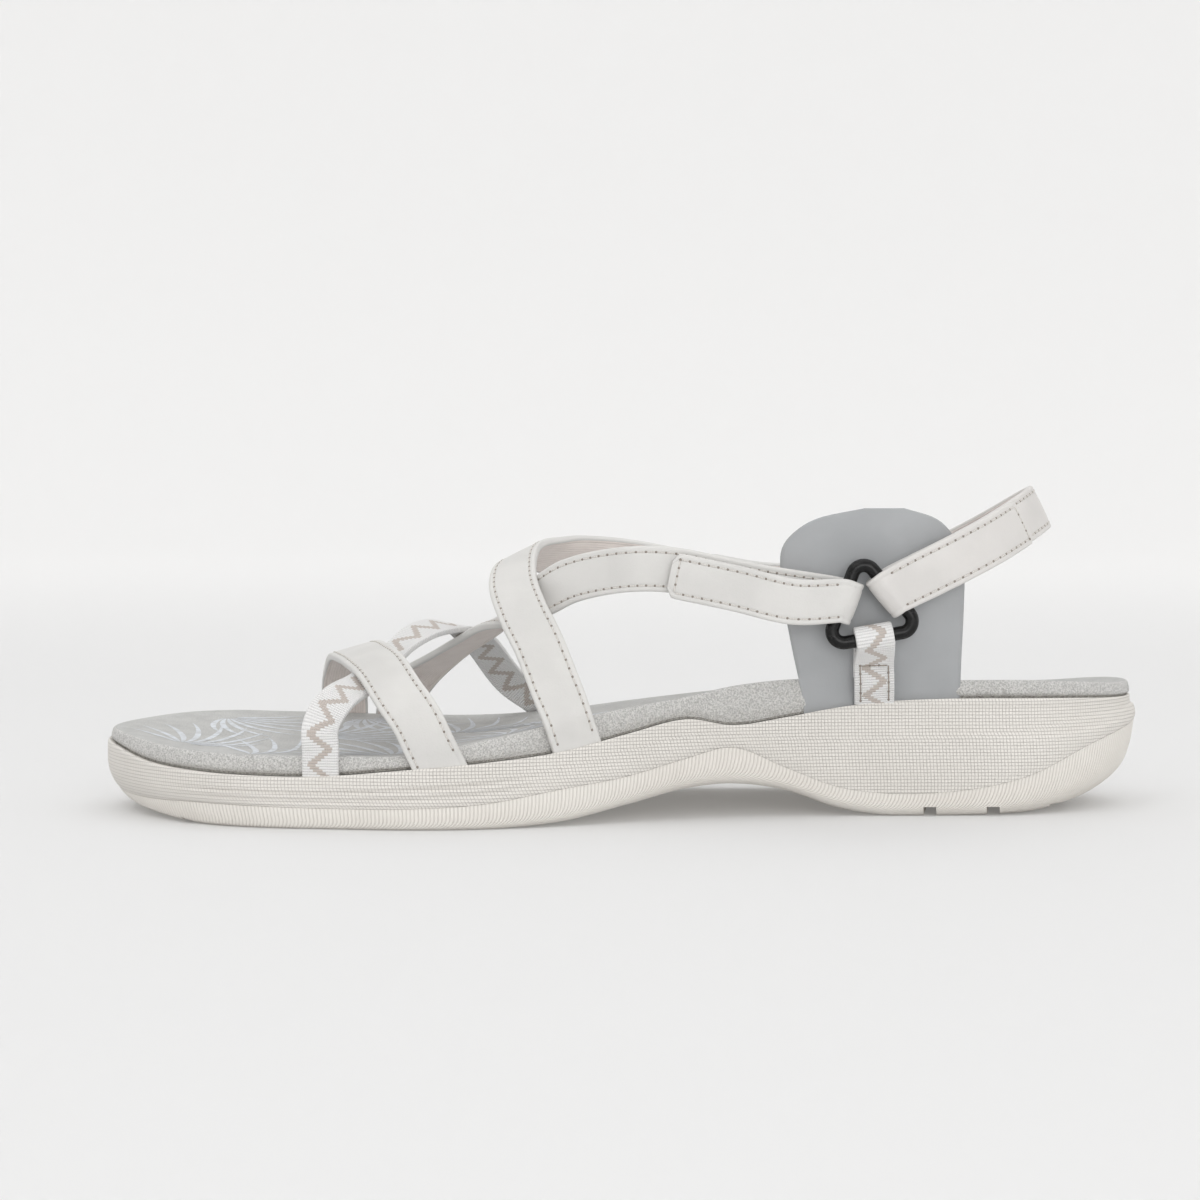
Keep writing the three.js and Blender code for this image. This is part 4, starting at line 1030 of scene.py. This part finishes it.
def loops():
    for side, name in SIDES:
        band = Band(ring_loop(side), WEBBING_WIDTH, WEBBING_WALL, eased=3)
        webbing_band("loop_" + name, band, "ring_webbing_" + name)
        band.lift = LOOP_STITCH_LIFT
        top = band.at_knot(3)
        rows = edge_rows(band, band.at_knot(1) + 1, top) + end_row(band, top, 1)
        stitches("loop_stitches_" + name, rows, "webbing", DARK_THREAD)


def rings():
    thick = np.array([0.0, RING_THICK / 2, 0.0])
    for side, name in SIDES:
        path = []
        for corner in ("top", "front", "back"):
            for bend in range(-60, 61, 10):
                way = flat_way(RING_ANGLES[corner] + bend)
                path.append((ring_corner(side, corner) + way * RING_CORNER, way))
        rows = []
        for (point, way), (after, _) in zip(path, path[1:] + path[:1]):
            straight = np.linalg.norm(after - point) > RING_CORNER
            for share in (0, 0.2, 0.4, 0.6, 0.8) if straight else (0,):
                rows.append(hoop(lerp(point, after, share), thick, way * RING_THICK / 2, RING_SIDES))
        rows.append(rows[0])
        skin = Skin()
        skin.grid(rows, around=True)
        placed(skin.made("ring_" + name + "_moulded", [PLASTIC], 80), "ring_plastic", "ring_" + name)


# Ankle pads
PAD_ROWS, PAD_COLUMNS = 40, 36
PUFF_FRAMES, PUFF_CAP = 20, 0.7


def pad_form(side):
    """The pad's closed form, thin where the seam holds it and domed at the top."""
    base = float(height_of("rim", (pad_start(side) + PAD_WIDTH / 2) / LENGTH, side))
    c = np.linspace(0, 1, PAD_COLUMNS + 1)
    rows = []
    for row in range(-3, PAD_ROWS + 1):
        up = max(row, 0) / PAD_ROWS
        share = 1 - (1 - up) ** 1.5
        z = base + STRAP_TUCK * row / 3 if row < 0 else lerp(base, pad_top(side), share)
        front = pad_start(side) + pad_front(share) * PAD_WIDTH
        back = pad_start(side) + pad_back(share) * PAD_WIDTH
        wall = lerp(PAD_FOOT_WALL, PAD_WALL, smoothstep(share, 0.1, 0.3))
        x = TOE_X + lerp(front, back, c)
        soft = wall * (1 - 0.62 * np.maximum(np.abs(2 * c - 1), share) ** 7)
        face = pad_face(x, z, side)
        outer, inner = (np.stack([x, face - side * depth, np.full_like(x, z)], axis=1)
                        for depth in ((wall - soft) * 0.45, soft))
        rows.append(np.concatenate([outer, inner[::-1]]))
    return np.array(rows)


def pads():
    for side, name in SIDES:
        rows = pad_form(side)
        skin = Skin()
        skin.grid(rows, around=True)
        for end in (rows[0], rows[-1]):
            half = len(end) // 2
            skin.grid(np.stack([end[:half], end[half:][::-1]], axis=1))
        piece = skin.made("ankle_pad_" + name + "_soft", [PAD], 80)
        puffed(piece, side)
        placed(piece, "pad", "ankle_pad_" + name)


def puffed(piece, side):
    """Lets the pad swell as stuffed fabric, held at its foot, and never by more than a cap."""
    start = corners_of(piece)
    foot = start[:, 2].min()
    held = piece.vertex_groups.new(name="held")
    for i, weight in enumerate(1 - smoothstep(start[:, 2], foot + 0.01, foot + 0.035)):
        held.add([i], float(weight), "REPLACE")
    cloth = piece.modifiers.new("cloth", "CLOTH")
    settings = cloth.settings
    settings.quality, settings.mass = 6, 0.3
    settings.tension_stiffness = settings.compression_stiffness = 25
    settings.shear_stiffness, settings.bending_stiffness = 15, 4
    settings.use_pressure, settings.uniform_pressure_force = True, 4.0
    settings.vertex_group_mass = "held"
    settings.effector_weights.gravity = 0
    cloth.collision_settings.use_collision = False
    scene = bpy.context.scene
    cloth.point_cache.frame_start, cloth.point_cache.frame_end = 1, PUFF_FRAMES
    for step in range(1, PUFF_FRAMES + 1):
        scene.frame_set(step)
    applied(piece)
    scene.frame_set(1)
    move = corners_of(piece) - start
    size = np.linalg.norm(move, axis=1, keepdims=True)
    move *= np.minimum(1, PUFF_CAP * MM / np.maximum(size, 1e-9))
    outward = np.sign(side) * move[:, 1] > 0
    move[outward, 1] *= 0.35
    piece.data.vertices.foreach_set("co", (start + move).ravel())
    piece.vertex_groups.clear()
    smooth = piece.modifiers.new("smooth", "SMOOTH")
    smooth.factor, smooth.iterations = 0.4, 2
    applied(piece)


def corners_of(piece):
    found = np.empty(len(piece.data.vertices) * 3)
    piece.data.vertices.foreach_get("co", found)
    return found.reshape(-1, 3)


# Print on the footbed
LEAVES, LEAF_WIDTH, LEAF_START, FAN = 9, 1.9, 2.5, 62
PRINT_INSET, PRINT_LIFT = 2.5, 0.05

# Sprigs on the footbed: x, y, the way they point in degrees, and length
SPRIGS = (
    (-112, -18, 60, 30), (-106, 24, -50, 30), (-92, -38, 70, 34), (-78, 2, 20, 34), (-70, 34, -60, 30),
    (-58, -34, 120, 34), (-44, 4, 40, 34), (-30, -30, 75, 30), (-22, 26, -70, 30), (-8, -20, 30, 30),
    (12, 16, -120, 30), (26, -20, 60, 28), (44, 22, -60, 30), (62, -14, 50, 30), (84, 24, -100, 30),
    (102, -8, 100, 26),
)


def heading(a):
    return np.array([math.cos(a), math.sin(a)])


def leaf(start, turn, length, width, curl):
    """Rows across one curved leaf on the flat."""
    rows = []
    for s in np.linspace(0, 1, 10):
        half = width / 2 * math.sin(math.pi * min(1, s * 0.94 + 0.06)) ** 0.8 * (1 - 0.4 * s)
        spine = start + length * s * heading(turn + curl * s / 2)
        side = heading(turn + curl * s + math.pi / 2)
        rows.append([spine + side * half * w for w in (-1, 0, 1)])
    return np.array(rows)


def footbed_print(bed):
    """Sprigs of plain leaves, printed on the footbed."""
    bvh = BVHTree.FromObject(bed, bpy.context.evaluated_depsgraph_get())
    skin = Skin()
    for x, y, way, long in SPRIGS:
        root = np.array([x, y], float)
        for i in range(LEAVES):
            fan = i / (LEAVES - 1) * 2 - 1
            turn = math.radians(way + FAN * fan)
            rows = leaf(root + LEAF_START * heading(turn), turn, long * (1 - 0.35 * fan**2), LEAF_WIDTH,
                        0.75 - 0.25 * fan)
            lifted = on_bed(rows, bvh)
            if lifted is not None:
                skin.grid(lifted, rows)
    placed(skin.made("footbed_sprigs", [PRINT], 80), "footbed")


def on_bed(rows, bvh):
    """The rows dropped on the footbed as far as they lie on it, or nothing."""
    lifted = []
    for row in rows:
        hits = [bvh.ray_cast(Vector((x * MM, y * MM, 0.2)), Vector((0, 0, -1)))[0] for x, y in row]
        if not all(hit is not None and inside_bed(x, y) for hit, (x, y) in zip(hits, row)):
            return None
        lifted.append([(x, y, hit.z / MM + PRINT_LIFT) for hit, (x, y) in zip(hits, row)])
    return np.array(lifted)


def inside_bed(x, y):
    at_x = min(max(x, TOE_X + TOE_LEDGE + 3), TOE_X + LENGTH - HEEL_LEDGE - 3)
    ledges = (BED_LEDGE + PRINT_INSET, TOE_LEDGE + PRINT_INSET, HEEL_LEDGE + PRINT_INSET)
    beside = edge_y(at_x, MEDIAL, *ledges) < y < edge_y(at_x, LATERAL, *ledges)
    return beside and TOE_X + 2 * PRINT_INSET < x < TOE_X + LENGTH - 2 * PRINT_INSET


# Stage
# The floor runs flat to its radius and then up into a round wall. Metres, apart from the drop in millimetres
FLOOR_RADIUS, COVE_RADIUS, WALL_TOP, FLOOR_DROP = 1.6, 1.2, 3.6, 0.06
WORLD_STRENGTH = 1.07
LIGHTS = (
    ("key", (-0.7, -0.9, 1.5), 1.0, 2.6),
    ("front", (0.3, -1.3, 0.3), 0.8, 4.5),
    ("back", (0.2, 0.9, 1.4), 1.0, 1.4),
)

# The photograph's camera: place in metres, pitch, and focal length and width in pixels
CAMERA_PLACE, CAMERA_PITCH = (-0.0065, -0.672, 0.092), math.atan2(150, 2600)
PHOTO_FOCAL, PHOTO_WIDTH, SENSOR = 2612, 1200, 36.0


def stage():
    profile = [(0.3, 0.0), (0.8, 0.0), (FLOOR_RADIUS, 0.0)]
    for a in np.radians(np.linspace(8, 90, 12)):
        profile.append((FLOOR_RADIUS + COVE_RADIUS * math.sin(a), COVE_RADIUS * (1 - math.cos(a))))
    profile.append((FLOOR_RADIUS + COVE_RADIUS, WALL_TOP))
    x, y, z = np.identity(3)
    rows = [hoop(z * (up / MM - FLOOR_DROP), x * r / MM, y * r / MM, 64) for r, up in profile]
    skin = Skin()
    skin.grid(rows, around=True)
    skin.cap(rows[0])
    floor = skin.made("studio_floor", [floor_look()], 80)
    world = bpy.data.worlds.new("studio")
    world.use_nodes = True
    background = world.node_tree.nodes["Background"].inputs
    background[0].default_value, background[1].default_value = (1, 1, 1, 1), WORLD_STRENGTH
    bpy.context.scene.world = world
    bpy.context.scene.view_settings.view_transform = "Standard"
    for name, place, size, power in LIGHTS:
        data = bpy.data.lights.new(name, "AREA")
        data.shape, data.size, data.energy = "SQUARE", size, power
        light = added(name, data)
        light.location = place
        light.rotation_euler = (Vector((0, 0, 0.03)) - Vector(place)).to_track_quat("-Z", "Y").to_euler()


def camera():
    data = bpy.data.cameras.new("camera")
    data.sensor_fit, data.sensor_width = "HORIZONTAL", SENSOR
    data.lens = PHOTO_FOCAL / PHOTO_WIDTH * SENSOR
    data.clip_start, data.clip_end = 0.01, 20.0
    eye = added("camera", data)
    eye.location = CAMERA_PLACE
    eye.rotation_euler = (math.radians(90) - CAMERA_PITCH, 0, 0)
    bpy.context.scene.camera = eye


camera()
stage()
outsole()
midsole()
bed = insole()
footbed_print(bed)
straps()
heel_strap()
loops()
rings()
pads()
